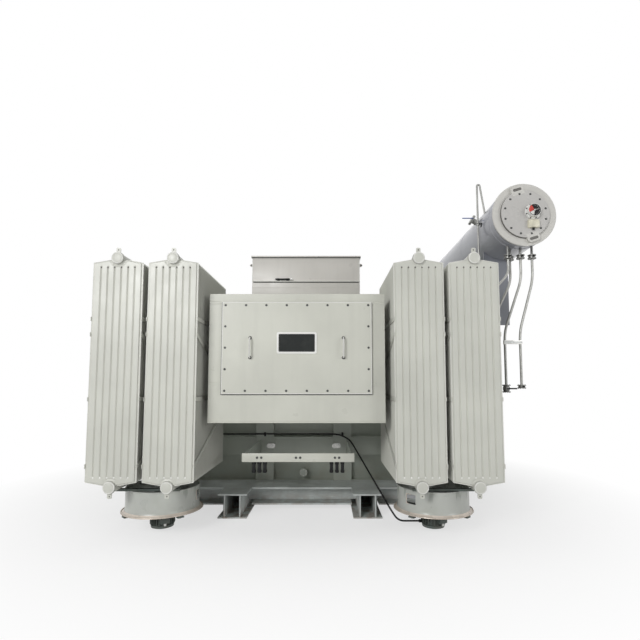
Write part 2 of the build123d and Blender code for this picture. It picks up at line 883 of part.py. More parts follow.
def pipe_clip():
    """A flat bar that ties the two drop pipes together."""
    x0 = drop_lower_x[0] - small_pipe_radius
    x1 = drop_lower_x[1] + small_pipe_radius
    y = drop_y - small_pipe_radius - fit
    z = conservator_z - clip_drop
    return block(x0, x1, y - clip_thickness, y, z, z + clip_height)


def breather_pipe():
    """The tall pipe that turns over and slants down into the shell."""
    neck = breather_foot + breather_neck
    points = [
        (breather_can_x, breather_y, breather_foot), (breather_can_x, breather_y, neck),
        (breather_x, breather_y, neck + breather_slant), (breather_x, breather_y, breather_top),
        (breather_turn_x, breather_y, breather_top), (breather_end_x, breather_y, breather_end_z),
    ]
    return tube_run(points, breather_radius) - shell_cutter()


def breather():
    """The drying canister at the foot of the tall pipe."""
    low = breather_foot - breather_can_height
    return disc(breather_can_x, breather_y, low, breather_can_radius, breather_can_height)


def breather_stay():
    """The flat that holds the tall pipe to the shell."""
    x0 = breather_x + breather_radius + fit
    half = stay_thickness / 2
    z = breather_stay_z
    bar = block(x0, conservator_x, breather_y - half, breather_y + half, z, z + stay_height)
    return bar - shell_cutter()


def filler_stub():
    """A flanged stub on the shell's upper side."""
    r1 = conservator_radius + filler_reach
    stub = prism(0, 0, 0, filler_radius, r1, small_sides, "X")
    stub += prism(r1, 0, 0, filler_flange_radius, filler_flange_thickness, small_sides, "X")
    stub = Pos(conservator_x, filler_y, conservator_z) * Rot(0, -filler_angle, 0) * stub
    return stub - shell_cutter()


def relay_pipe():
    """The pipe from the shell to the tank cover, with the gas relay in it."""
    cut = relay_mitre
    points = [
        (relay_x, 0, conservator_z), (relay_x, 0, relay_knee_z + cut),
        (relay_x - cut, 0, relay_knee_z), (relay_entry_x + cut, 0, relay_knee_z),
        (relay_entry_x, 0, relay_knee_z - cut), (relay_entry_x, 0, cover_top),
    ]
    pipe = tube_run(points, relay_pipe_radius)
    middle = (relay_x + relay_entry_x) / 2
    half, size = relay_body_length / 2, relay_body_size / 2
    pipe += block(middle - half, middle + half, -size, size, relay_knee_z - size, relay_knee_z + size)
    return pipe - shell_cutter()


def main():
    """Build every node and write it."""
    os.makedirs("parts", exist_ok=True)
    half_spacing = skid_spacing / 2
    save("skid_left", Pos(-half_spacing, 0, 0) * skid())
    save("skid_right", Pos(half_spacing, 0, 0) * skid())
    beams = cross_beam()
    save("cross_beam_front", *beams)
    save("cross_beam_rear", *[rear(beam) for beam in beams])

    save("tank_body", tank_body())
    save("tank_cover", cover_outline(tank_top, cover_top))
    for name, front, end in (("posts", front_posts(), end_posts()), ("belts", front_belts(), end_belts())):
        back = [rear(piece) for piece in front]
        far_end = [mirror(piece, about=Plane.YZ) for piece in end]
        save("tank_" + name, *front, *back, *end, *far_end)
    save("tank_fittings", *tank_fittings())

    unit = radiator()
    ties = []
    for number, x in enumerate(radiator_centres, 1):
        placed = Pos(x, 0, 0) * unit
        save("radiator_front_" + str(number), placed)
        save("radiator_rear_" + str(number), rear(placed))
        ties += radiator_ties(x)
    save("radiator_ties_front", *ties)
    save("radiator_ties_rear", *[rear(tie) for tie in ties])

    lower = [lower_pipe(x) for x in radiator_centres]
    upper = [upper_pipe(x) for x in radiator_centres]
    save("lower_header_pipes_front", *lower)
    save("lower_header_pipes_rear", *[rear(pipe) for pipe in lower])
    save("upper_header_pipes_front", *upper)
    save("upper_header_pipes_rear", *[rear(pipe) for pipe in upper])

    bars = fan_bars(radiator_inner_x, radiator_outer_x) + fan_bars(-radiator_outer_x, -radiator_inner_x)
    arms = fan_arms(-fan_x) + fan_arms(fan_x)
    save("fan_bars", *bars, *[rear(bar) for bar in bars])
    save("fan_arms", *arms, *[rear(arm) for arm in arms])
    rings = [fan_ring(x, angle) for x, angle in zip((-fan_x, fan_x), fan_window_angles)]
    motors = [fan_motor(-fan_x), fan_motor(fan_x)]
    wheels = [fan_impeller(-fan_x), fan_impeller(fan_x)]
    for name, pieces in (("fan_rings", rings), ("fan_motors", motors), ("fan_impellers", wheels)):
        save(name + "_front", *pieces)
        save(name + "_rear", *[rear(piece) for piece in pieces])

    save("fan_cable", fan_cable())
    save("fan_cable_clips", *cable_clips())

    save("cable_box_body", cable_box())
    save("cable_box_door", cable_box_door())
    save("cable_box_window", window_glass())
    save("cable_box_handles", door_handle(-handle_x), door_handle(handle_x))
    save("cable_box_throat", cable_throat())
    save("gland_plate", gland_plate())
    save("cable_rail", cable_rail())
    save("rail_brackets", *rail_brackets())
    save("cable_cleats", *cable_cleats())

    save("top_box_body", top_box())
    save("top_box_lid", top_box_lid())
    save("top_box_latch", top_box_latch())

    save("conservator_shell", conservator_shell())
    save("conservator_rim", conservator_rim())
    save("conservator_hatch", conservator_hatch())
    save("oil_gauge", oil_gauge())
    save("gauge_terminal_box", gauge_box())
    save("conservator_support", conservator_support())
    save("conservator_valves", *conservator_valves())
    save("drop_pipes", *drop_pipes())
    save("drop_valves", *drop_valves())
    save("return_pipes", *return_pipes())
    save("pipe_clips", pipe_clip(), breather_stay())
    save("breather_pipe", breather_pipe())
    save("breather", breather())
    save("filler_stub", filler_stub())
    save("relay_pipe", relay_pipe())


main()
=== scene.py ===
import bmesh
import bpy
import json
import math
from mathutils import Matrix, Vector

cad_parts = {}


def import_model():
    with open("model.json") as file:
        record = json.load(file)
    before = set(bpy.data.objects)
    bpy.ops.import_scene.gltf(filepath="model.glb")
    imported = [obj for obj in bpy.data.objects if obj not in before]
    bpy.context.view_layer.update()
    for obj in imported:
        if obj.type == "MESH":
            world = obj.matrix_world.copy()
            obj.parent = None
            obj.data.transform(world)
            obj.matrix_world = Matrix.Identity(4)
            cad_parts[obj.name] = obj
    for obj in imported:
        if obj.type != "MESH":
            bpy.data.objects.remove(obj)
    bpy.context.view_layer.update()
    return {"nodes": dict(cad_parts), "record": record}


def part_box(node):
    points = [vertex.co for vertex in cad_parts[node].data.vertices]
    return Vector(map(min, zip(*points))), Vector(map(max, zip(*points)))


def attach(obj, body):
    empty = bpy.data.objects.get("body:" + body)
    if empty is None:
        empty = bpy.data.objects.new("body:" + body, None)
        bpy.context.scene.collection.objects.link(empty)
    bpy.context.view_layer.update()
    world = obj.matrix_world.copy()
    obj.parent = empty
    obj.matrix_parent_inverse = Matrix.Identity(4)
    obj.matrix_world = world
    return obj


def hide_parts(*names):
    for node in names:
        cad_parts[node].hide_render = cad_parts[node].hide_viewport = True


# The photo's view of the oil-filled power transformer, in metres.
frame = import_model()

# Directions
front_way, rear_way = (0, -1, 0), (0, 1, 0)
left_way, right_way = (-1, 0, 0), (1, 0, 0)
down_way, up_way = (0, 0, -1), (0, 0, 1)

# Camera worked out from the photo's vanishing points
camera_place = (0.325, -7.100, 1.597)
camera_pitch = 4.55
camera_lens = 24.75
camera_shift = (-0.011, 0.047)

# Strength of the even light from all sides
ambient_light = 0.22

# Edges that turn more than this stay sharp
sharp_angle = 32

# Colours of dirt, and of the painted shadow below the fan ducts' top edge
dust_colour = (0.30, 0.26, 0.20)
rust_colour = (0.22, 0.115, 0.06)
cast_shadow_colour = (0.215, 0.240, 0.205)
# Painted shadow of the radiators' bottoms on the fan ducts
stain_colour = (0.345, 0.370, 0.300)

# Radiators
panel_total = 26
panel_half_thickness = 0.006
panel_edge_half = 0.0015
panel_flange = 0.013
panel_shoulder = 0.046
flute_total = 7
flute_end = 0.094
flute_side = 0.008
valley_width = 0.023
outer_relief = 0.0125
header_radius = 0.061
header_cap = 0.030
header_stub = 0.022
cap_setback = 0.0005
lug_reach = 0.052
lug_width = 0.046
header_inset = lug_reach + header_radius

# Header pipes
valve_length = 0.096
valve_radius = 0.074
valve_flange_radius = 0.098
valve_flange_thickness = 0.022
valve_bolt_size = 0.011
header_pipe_radius = 0.051
header_pipe_bend = 0.11

# Fans
ring_radius = 0.390
ring_wall = 0.006
mouth_radius = 0.434
mouth_height = 0.060
window_half_angle = 8.8
window_half_height = 0.050
window_angles = (0.0, -139.0)
blade_total = 6
blade_root, blade_length = 0.098, 0.276
blade_pitch, blade_twist = 44, 22
blade_chord, blade_swell = 0.140, 0.040
blade_camber, blade_half_thickness = 0.012, 0.0035
motor_fins = 26
motor_radius = 0.135
arm_angles = (45, 135, 225, 315)
arm_foot_start, arm_foot_thickness = 0.388, 0.010

# Tank
rim_reach = 0.095
rim_thickness = 0.030
belt_depth = 0.080
post_pitch = 1.080
post_half = 0.125
cover_bolt_inset = 0.042
cover_bolt_size = 0.016
pad_half = 0.060
pad_thickness = 0.018
drain_plate = 0.020
drain_radius = 0.056

# Base
beam_flange = 0.020
beam_rib_places = (1.30, 1.94)
beam_bolt_places = (1.20, 1.66, 1.90)
tow_plate_height = 0.150

# Cable box and its rail
door_bolt_size = 0.012
door_bolt_inset = 0.035
handle_radius = 0.0085
rail_thickness = 0.008
rail_group = 0.437
rail_bolt_half_pitch = 0.024
clamp_pitch = 0.062

# Cable to the right fan
cable_radius = 0.010
cable_leaves_wall = 0.600
cable_knee_out, cable_knee_level = 0.474, 0.215
cable_end_level = 0.090

# Terminal box on the cover
ledge_rise = 0.334
box_lug_reach = 0.046
box_lug_inset = 0.053
box_lug_drop = 0.113
box_seam_places = (0.28,)

# Conservator
shell_axis_x, shell_axis_z = 2.539, 3.503
shell_radius = 0.345
shell_seam_angle = 205
bead_places = (0.045, 0.125)
ridge_places = (1.20, 2.40)
hatch_bolt_total = 12
hatch_radius = 0.2715
hatch_thickness = 0.030
ear_slot_out = 0.018
ear_slot_half = 0.050
ear_slot_width = 0.032
ear_border = 0.021
ear_angles = (107.0, 287.0)
gauge_dx = 0.078
gauge_dz = 0.023
gauge_radius = 0.072
gauge_flange = 0.088

# Small pipes: where the drop pipes start and end, and each return pipe's X, Y, knee and level
pipe_radius = 0.014
drop_starts = (2.544, 2.676)
drop_ends = (2.335, 2.508)
drop_knees = (2.800, 2.200)
return_routes = ((2.401, -2.150, 2.863, 2.640), (2.451, -2.080, 2.782, 2.250))
return_run_x, return_entry_y = 2.190, -0.710
cock_height = 0.046
cock_radius = 0.046
short_lever, long_lever = 0.012, 0.100
band_half_height = 0.022

# Breather, filler and relay
breather_radius = 0.011
breather_end_level = 3.664
clamp_level = 3.545
filler_y = -1.600
filler_angle = 150.0
filler_flange_radius = 0.066
relay_start_level, relay_level = 3.200, 3.060
relay_pipe_radius = 0.040
relay_middle, relay_half_length = 2.040, 0.080


def span(node):
    """The low and high corner of a CAD node as six numbers."""
    low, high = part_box(node)
    return low.x, high.x, low.y, high.y, low.z, high.z


def front_of(node):
    """The left, right, bottom and top of a CAD node."""
    low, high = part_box(node)
    return low.x, high.x, low.z, high.z


def grown(rectangle, by):
    """A rectangle made larger on all sides."""
    left, right, bottom, top = rectangle
    return left - by, right + by, bottom - by, top + by


def row(low, high, count):
    """Values at even steps from one end to the other."""
    return [low + (high - low) * i / (count - 1) for i in range(count)]


def both_sides(places):
    """Places to the right of the middle and their mirror images."""
    return [side * place for side in (-1, 1) for place in places]


def facing(origin, direction):
    """A frame at a point with its Z axis along a direction."""
    turn = Vector(direction).to_track_quat("Z", "Y").to_matrix().to_4x4()
    return Matrix.Translation(Vector(origin)) @ turn


def front_plane(x, y, z):
    """A frame with X to the right, Y up and Z towards the viewer at -Y."""
    return Matrix(((1, 0, 0, x), (0, 0, -1, y), (0, 1, 0, z), (0, 0, 0, 1)))


def turned(x, y, degrees):
    """A frame on an upright axis, turned about it."""
    return Matrix.Translation((x, y, 0)) @ Matrix.Rotation(math.radians(degrees), 4, "Z")


def circle(radius, x=0.0, y=0.0, count=20, start=0.0):
    """Points round a circle, the first one a part of a step from its X direction."""
    turns = [2 * math.pi * (i + start) / count for i in range(count)]
    return [(x + radius * math.cos(t), y + radius * math.sin(t)) for t in turns]


def spots_round(centre, way, radius, count, start=0.5):
    """Points round an axis."""
    place = facing(centre, way)
    return [place @ Vector((x, y, 0)) for x, y in circle(radius, 0, 0, count, start)]


def shapes(count):
    """A number of empty shapes."""
    return [Shape() for _ in range(count)]


class Shape:
    """Mesh pieces that are gathered into one object."""

    def __init__(self):
        self.bm = bmesh.new()

    def box(self, x0, x1, y0, y1, z0, z1, bevel=0.002, place=None):
        """A box with rounded edges."""
        size = Matrix.Diagonal((x1 - x0, y1 - y0, z1 - z0, 1))
        middle = Matrix.Translation(((x0 + x1) / 2, (y0 + y1) / 2, (z0 + z1) / 2))
        made = bmesh.ops.create_cube(self.bm, size=1, matrix=(place or Matrix()) @ middle @ size)
        if bevel:
            edges = list({edge for vert in made["verts"] for edge in vert.link_edges})
            bmesh.ops.bevel(self.bm, geom=edges, offset=bevel, segments=2, profile=0.5, affect="EDGES")

    def lathe(self, profile, spot, way, sides, closed=False):
        """A turned form from radius and height pairs."""
        place = facing(spot, way)
        rings = []
        for radius, height in profile:
            points = circle(radius, 0, 0, sides) if radius > 1e-6 else [(0, 0)]
            rings.append([self.bm.verts.new(place @ Vector((x, y, height))) for x, y in points])
        pairs = list(zip(rings, rings[1:]))
        if closed:
            pairs.append((rings[-1], rings[0]))
        for low, high in pairs:
            self.bridge(low, high)

    def bridge(self, low, high):
        """Faces between two rings of points, either of which may be one point."""
        count = max(len(low), len(high))
        for i in range(count):
            j = (i + 1) % count
            if len(low) == 1:
                self.bm.faces.new((low[0], high[j], high[i]))
            elif len(high) == 1:
                self.bm.faces.new((low[i], low[j], high[0]))
            else:
                self.bm.faces.new((low[i], low[j], high[j], high[i]))

    def drum(self, start, way, length, radius, edge, sides):
        """A round bar with softened rims."""
        profile = [(0, 0), (radius - edge, 0), (radius, edge), (radius, length - edge),
                   (radius - edge, length), (0, length)]
        self.lathe(profile, start, way, sides)

    def tube(self, points, radius, bend, sides):
        """A round bar along points with true arcs at its corners."""
        path = rounded_path([Vector(p) for p in points], bend)
        side = None
        rings = []
        for i, point in enumerate(path):
            ahead = path[min(i + 1, len(path) - 1)] - path[max(i - 1, 0)]
            ahead.normalize()
            if side is None:
                side = ahead.orthogonal().normalized()
            side = (side - ahead * side.dot(ahead)).normalized()
            other = ahead.cross(side)
            spots = [point + side * a + other * b for a, b in circle(radius, 0, 0, sides)]
            rings.append([self.bm.verts.new(spot) for spot in spots])
        for low, high in zip(rings, rings[1:]):
            self.bridge(low, high)
        self.bm.faces.new(list(reversed(rings[0])))
        self.bm.faces.new(rings[-1])

    def seam(self, start, end, radius, sides=6):
        """A straight bead."""
        self.tube([start, end], radius, 0.0, sides)

    def plate(self, outlines, place, depth):
        """A flat plate from an outline and its holes, with its thickness along Z."""
        levels = []
        for height in (0.0, depth):
            loops = [[self.bm.verts.new(place @ Vector((x, y, height))) for x, y in line]
                     for line in outlines]
            edges = []
            for loop in loops:
                edges += [self.bm.edges.new((a, b)) for a, b in zip(loop, loop[1:] + loop[:1])]
            bmesh.ops.triangle_fill(self.bm, use_beauty=True, use_dissolve=False, edges=edges)
            levels.append(loops)
        for low, high in zip(*levels):
            self.bridge(low, high)

    def bolt(self, spot, way, size):
        """A hexagon head on a washer."""
        base, top = size * 0.16, size * 0.74
        self.lathe([(0, 0), (size * 1.05, 0), (size * 1.05, base), (0, base)], spot, way, 12)
        head = [(size * 0.86, base), (size * 0.86, size * 0.62), (size * 0.70, top), (0, top)]
        self.lathe(head, spot, way, 6)

    def bolt_ring(self, centre, way, radius, count, size, start=0.5):
        """Bolts round an axis."""
        for spot in spots_round(centre, way, radius, count, start):
            self.bolt(spot, way, size)

    def grid(self, rows):
        """Faces over rows of points."""
        made = [[self.bm.verts.new(point) for point in line] for line in rows]
        for low, high in zip(made, made[1:]):
            for i in range(len(low) - 1):
                self.bm.faces.new((low[i], low[i + 1], high[i + 1], high[i]))
        return made


def rounded_path(points, bend):
    """A route with each corner replaced by a short arc."""
    path = [points[0]]
    for before, corner, after in zip(points, points[1:], points[2:]):
        back, ahead = (before - corner), (after - corner)
        reach = min(bend, back.length * 0.45, ahead.length * 0.45)
        start = corner + back.normalized() * reach
        end = corner + ahead.normalized() * reach
        for step in range(7):
            t = step / 6
            path.append(start * (1 - t) ** 2 + corner * 2 * t * (1 - t) + end * t ** 2)
    path.append(points[-1])
    return path


def rounded(x0, x1, y0, y1, radius, steps=5):
    """A rectangle's outline with round corners."""
    line = []
    corners = ((x1 - radius, y0 + radius, -90), (x1 - radius, y1 - radius, 0),
               (x0 + radius, y1 - radius, 90), (x0 + radius, y0 + radius, 180))
    for x, y, start in corners:
        for i in range(steps + 1):
            t = math.radians(start + 90 * i / steps)
            line.append((x + radius * math.cos(t), y + radius * math.sin(t)))
    return line


def make(name, shape, material, nodes=(), mirrored=False):
    """Turn a shape into a piece, and its mirror image into the rear one."""
    mesh = bpy.data.meshes.new(name)
    bmesh.ops.recalc_face_normals(shape.bm, faces=shape.bm.faces)
    shape.bm.to_mesh(mesh)
    shape.bm.free()
    mesh.materials.append(material)
    mesh.shade_smooth()
    mesh.set_sharp_from_angle(angle=math.radians(sharp_angle))
    place_piece(name, mesh, nodes)
    if mirrored:
        other = mesh.copy()
        other.transform(Matrix.Diagonal((1, -1, 1, 1)))
        other.flip_normals()
        rear_nodes = [node.replace("front", "rear") for node in nodes if "front" in node]
        place_piece(name + "_rear", other, rear_nodes)


def place_piece(name, mesh, nodes):
    """Add a piece to the scene on the root body."""
    piece = bpy.data.objects.new(name, mesh)
    bpy.context.scene.collection.objects.link(piece)
    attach(piece, "root")
    if nodes:
        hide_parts(*nodes)


class Nodes:
    """A material's node tree, with short ways to add to it."""

    def __init__(self, name):
        self.material = bpy.data.materials.new(name)
        self.material.use_nodes = True
        self.tree = self.material.node_tree
        self.shader = self.tree.nodes["Principled BSDF"]
        coordinates = self.tree.nodes.new("ShaderNodeTexCoord")
        self.where = coordinates.outputs["Object"]

    def link(self, source, target):
        """Join an output to an input."""
        self.tree.links.new(source, target)

    def noise(self, scale, detail=4.0, stretch=(1, 1, 1)):
        """Noise over the object, stretched along its axes."""
        mapping = self.tree.nodes.new("ShaderNodeMapping")
        mapping.inputs["Scale"].default_value = stretch
        self.link(self.where, mapping.inputs["Vector"])
        node = self.tree.nodes.new("ShaderNodeTexNoise")
        node.inputs["Scale"].default_value = scale
        node.inputs["Detail"].default_value = detail
        self.link(mapping.outputs["Vector"], node.inputs["Vector"])
        return node.outputs["Fac"]

    def span(self, source, low, high, to_low=0.0, to_high=1.0):
        """One range of values turned into another."""
        node = self.tree.nodes.new("ShaderNodeMapRange")
        for name, value in (("From Min", low), ("From Max", high), ("To Min", to_low), ("To Max", to_high)):
            node.inputs[name].default_value = value
        self.link(source, node.inputs["Value"])
        return node.outputs["Result"]

    def times(self, a, b):
        """The product of two values."""
        node = self.tree.nodes.new("ShaderNodeMath")
        node.operation = "MULTIPLY"
        self.link(a, node.inputs[0])
        self.link(b, node.inputs[1])
        return node.outputs[0]

    def height(self):
        """The height above the floor."""
        node = self.tree.nodes.new("ShaderNodeSeparateXYZ")
        self.link(self.where, node.inputs[0])
        return node.outputs["Z"]

    def mix(self, factor, a, b):
        """Two colours blended by a factor."""
        node = self.tree.nodes.new("ShaderNodeMix")
        node.data_type = "RGBA"
        self.link(factor, node.inputs["Factor"])
        for source, target in ((a, node.inputs["A"]), (b, node.inputs["B"])):
            if isinstance(source, tuple):
                target.default_value = (*source, 1.0)
            else:
                self.link(source, target)
        return node.outputs["Result"]

    def bump(self, source, strength, distance):
        """Small relief on the surface."""
        node = self.tree.nodes.new("ShaderNodeBump")
        node.inputs["Strength"].default_value = strength
        node.inputs["Distance"].default_value = distance
        self.link(source, node.inputs["Height"])
        self.link(node.outputs["Normal"], self.shader.inputs["Normal"])

    def finish(self, colour, roughness, metallic=0.0):
        """Join the colour and roughness to the shader."""
        self.link(colour, self.shader.inputs["Base Color"])
        self.link(roughness, self.shader.inputs["Roughness"])
        self.shader.inputs["Metallic"].default_value = metallic
        return self.material


def shade(colour, factor):
    """A colour made lighter or darker."""
    return tuple(min(1.0, part * factor) for part in colour)


def paint(name, colour, roughness, streaks=0.08, dirt=0.0, dirt_top=0.9):
    """Sprayed paint with faint clouds, run marks and dust low down."""
    nodes = Nodes(name)
    clouds = nodes.span(nodes.noise(1.7, 5.0), 0.3, 0.7)
    base = nodes.mix(clouds, shade(colour, 0.94), shade(colour, 1.05))
    runs = nodes.span(nodes.noise(3.0, 4.0, (3.2, 3.2, 0.22)), 0.52, 0.78, 0.0, streaks * 2.2)
    base = nodes.mix(runs, base, shade(colour, 0.72))
    low = nodes.span(nodes.height(), 0.0, dirt_top, dirt, 0.0)
    patches = nodes.span(nodes.noise(7.0, 6.0), 0.35, 0.7)
    base = nodes.mix(nodes.times(low, patches), base, dust_colour)
    nodes.bump(nodes.noise(170.0, 2.0), 0.10, 0.0012)
    sheen = nodes.span(nodes.noise(5.0, 3.0), 0.3, 0.7, roughness - 0.06, roughness + 0.08)
    return nodes.finish(base, sheen)


def duct_paint(name, colour):
    """Paint on the fan ducts with stains, and dark streaks just below the top edge as painted shadow of the
    radiators' bottoms.
    """
    nodes = Nodes(name)
    clouds = nodes.span(nodes.noise(3.0, 5.0), 0.3, 0.7)
    base = nodes.mix(clouds, shade(colour, 0.88), shade(colour, 1.06))
    # Dark streaks just below the top edge: painted shadow cast by the radiators' bottoms and tabs
    shadow_streaks = nodes.span(nodes.noise(5.5, 2.0, (2.4, 2.4, 0.5)), 0.56, 0.62, 0.0, 0.55)
    base = nodes.mix(nodes.times(shadow_streaks, nodes.span(nodes.height(), 0.37, 0.44)), base, cast_shadow_colour)
    base = nodes.mix(nodes.span(nodes.noise(2.2, 3.0), 0.52, 0.68, 0.0, 0.45), base, stain_colour)
    nodes.bump(nodes.noise(90.0, 2.0), 0.10, 0.0015)
    return nodes.finish(base, nodes.span(clouds, 0.0, 1.0, 0.24, 0.36))


def worn_steel(name, colour, rust=0.6, rust_top=0.16):
    """Worn paint on heavy steel with rust towards the floor."""
    nodes = Nodes(name)
    clouds = nodes.span(nodes.noise(4.0, 7.0), 0.3, 0.7)
    base = nodes.mix(clouds, shade(colour, 0.80), shade(colour, 1.12))
    scratches = nodes.span(nodes.noise(9.0, 6.0, (0.5, 0.5, 5.0)), 0.58, 0.72, 0.0, 0.45)
    base = nodes.mix(scratches, base, shade(colour, 1.5))
    low = nodes.span(nodes.height(), 0.0, rust_top, rust, 0.08)
    patches = nodes.span(nodes.noise(11.0, 8.0), 0.40, 0.62)
    base = nodes.mix(nodes.times(low, patches), base, rust_colour)
    nodes.bump(nodes.noise(60.0, 5.0), 0.25, 0.002)
    return nodes.finish(base, nodes.span(clouds, 0.0, 1.0, 0.45, 0.65), 0.15)


def bare_metal(name, colour, roughness=0.32, metallic=0.9, grain=24.0, relief=0.10):
    """Bare or galvanised metal with a spangled tone."""
    nodes = Nodes(name)
    cells = nodes.tree.nodes.new("ShaderNodeTexVoronoi")
    cells.inputs["Scale"].default_value = grain
    nodes.link(nodes.where, cells.inputs["Vector"])
    tone = nodes.tree.nodes.new("ShaderNodeSeparateColor")
    nodes.link(cells.outputs["Color"], tone.inputs[0])
    base = nodes.mix(nodes.span(tone.outputs[0], 0.0, 1.0), shade(colour, 0.86), shade(colour, 1.08))
    base = nodes.mix(nodes.span(nodes.noise(6.0, 6.0), 0.5, 0.8, 0.0, 0.5), base, shade(colour, 0.62))
    nodes.bump(nodes.noise(120.0, 3.0), relief, 0.001)
    sheen = nodes.span(nodes.noise(9.0), 0.3, 0.7, roughness - 0.08, roughness + 0.14)
    return nodes.finish(base, sheen, metallic)


def moulded(name, colour, roughness=0.42, grain=0.15, gloss=0.5):
    """Moulded plastic or rubber with a fine grain."""
    nodes = Nodes(name)
    clouds = nodes.span(nodes.noise(14.0, 5.0), 0.3, 0.7)
    base = nodes.mix(clouds, shade(colour, 0.85), shade(colour, 1.20))
    nodes.bump(nodes.noise(300.0, 2.0), grain, 0.0008)
    nodes.shader.inputs["Specular IOR Level"].default_value = gloss
    return nodes.finish(base, nodes.span(clouds, 0.0, 1.0, roughness - 0.05, roughness + 0.10))


def dark_glass(name):
    """A dark pane with faint dust."""
    nodes = Nodes(name)
    dust = nodes.span(nodes.noise(8.0, 6.0), 0.45, 0.8, 0.0, 0.10)
    base = nodes.mix(dust, (0.020, 0.023, 0.022), (0.16, 0.16, 0.15))
    nodes.shader.inputs["Specular IOR Level"].default_value = 0.22
    return nodes.finish(base, nodes.span(dust, 0.0, 0.10, 0.07, 0.20))


# Darker and greener than the radiators' paint: painted shade for the tank wall under the cable box, on every
# part in this paint
tank_paint = paint("TankPaintPaintedShade", (0.400, 0.430, 0.380), 0.36, 0.10, 0.45)
radiator_paint = paint("RadiatorPaint", (0.590, 0.595, 0.540), 0.36, 0.04, 0.12, 0.8)
box_paint = paint("BoxPaint", (0.590, 0.595, 0.530), 0.33, 0.08, 0.10, 1.3)
fan_paint = duct_paint("FanPaint", (0.490, 0.505, 0.470))
conservator_paint = paint("ConservatorPaint", (0.390, 0.398, 0.435), 0.17, 0.06)
# A lighter copy of the radiators' and box paint, as painted highlight on lit rims, edges and lips
highlight_paint = paint("HighlightPaint", (0.720, 0.720, 0.680), 0.30, 0.04)
top_box_paint = paint("TopBoxPaint", (0.620, 0.600, 0.560), 0.33)
rim_paint = paint("RimPaint", (0.600, 0.590, 0.555), 0.30)
# A darker copy of the conservator's paint, as painted shade on its support
shaded_support_paint = paint("SupportPaintedShade", (0.190, 0.200, 0.225), 0.32, 0.06)
hatch_paint = paint("HatchPaint", (0.520, 0.510, 0.490), 0.30)
skid_paint = worn_steel("SkidPaint", (0.545, 0.580, 0.565))
motor_paint = worn_steel("MotorPaint", (0.100, 0.120, 0.110), 0.15)
bar_metal = bare_metal("GalvanisedSteel", (0.50, 0.51, 0.50), 0.45, 0.6)
lip_metal = bare_metal("MouthLip", (0.700, 0.625, 0.545), 0.30, 0.15, 12.0, 0.02)
bolt_metal = bare_metal("BoltSteel", (0.52, 0.52, 0.50), 0.36, 0.85, 60.0)
pipe_metal = bare_metal("PipeSteel", (0.36, 0.36, 0.34), 0.34, 0.45, 9.0, 0.01)
cock_metal = bare_metal("CockSteel", (0.22, 0.22, 0.21), 0.38, 0.6, 60.0)
clamp_metal = bare_metal("ClampSteel", (0.74, 0.73, 0.70), 0.30, 0.6, 60.0)
slot_shade = paint("SlotShade", (0.135, 0.130, 0.120), 0.6, 0.02)
chrome = bare_metal("PolishedSteel", (0.82, 0.83, 0.82), 0.14, 1.0, 90.0)
blade_metal = bare_metal("BladeMetal", (0.46, 0.47, 0.48), 0.40, 0.8)
black_plastic = moulded("BlackPlastic", (0.013, 0.014, 0.014), 0.50, 0.15, 0.18)
gasket_rubber = moulded("GasketRubber", (0.060, 0.062, 0.060), 0.6)
dial_black = moulded("DialBlack", (0.014, 0.014, 0.015), 0.30, 0.05, 0.20)
dial_white = moulded("DialWhite", (0.78, 0.78, 0.75), 0.34, 0.05)
dial_red = moulded("DialRed", (0.52, 0.045, 0.030), 0.34, 0.05)
cream_plastic = moulded("CreamPlastic", (0.68, 0.65, 0.52), 0.34, 0.05)
frame_paint = paint("FramePaint", (0.80, 0.80, 0.77), 0.28, 0.05)
handle_paint = paint("HandlePaint", (0.62, 0.62, 0.59), 0.26, 0.05)
dark_bolt_metal = bare_metal("DarkBoltSteel", (0.075, 0.078, 0.075), 0.40, 0.4, 60.0)
cable_black = moulded("CableBlack", (0.014, 0.014, 0.015), 0.45, 0.15, 0.25)
blue_plastic = moulded("BluePlastic", (0.05, 0.12, 0.42), 0.38, 0.05)
window_pane = dark_glass("WindowPane")

shown_materials = {
    "tank_paint": tank_paint, "radiator_paint": radiator_paint, "box_paint": box_paint,
    "skid_steel": skid_paint, "galvanised": bar_metal, "fan_steel": fan_paint, "motor_paint": motor_paint,
    "blade_metal": blade_metal, "window_glass": window_pane, "bright_steel": chrome,
    "black_plastic": black_plastic, "gauge_black": dial_black, "cream_plastic": cream_plastic,
    "pipe_steel": pipe_metal, "conservator_paint": conservator_paint,
}


def dress_cad_nodes():
    """Give every CAD node the material of its slot, then darker paint on the conservator's support as
    painted shade and motor paint on the fan bars.
    """
    for part in frame["record"]["subparts"]:
        mesh = frame["nodes"][part["node"]].data
        mesh.materials.clear()
        mesh.materials.append(shown_materials[part["material_slot"]])
    # The conservator's support in darker paint: painted shade
    frame["nodes"]["conservator_support"].data.materials[0] = shaded_support_paint
    frame["nodes"]["fan_bars"].data.materials[0] = motor_paint


def flute_depth(x, half):
    """How far the sheet stands out at one place across a panel."""
    inner = half - panel_flange
    if abs(x) >= inner:
        return 0.0
    edge = min(1.0, (inner - abs(x)) / flute_side)
    pitch = 2 * inner / flute_total
    offset = abs(((x + inner) / pitch) - round((x + inner) / pitch)) * pitch
    inside = pitch * 0.6 < x + inner < 2 * inner - pitch * 0.6
    valley = min(1.0, offset / (valley_width / 2)) if inside else 1.0
    return edge * (0.12 + 0.88 * (valley ** 2 * (3 - 2 * valley)))


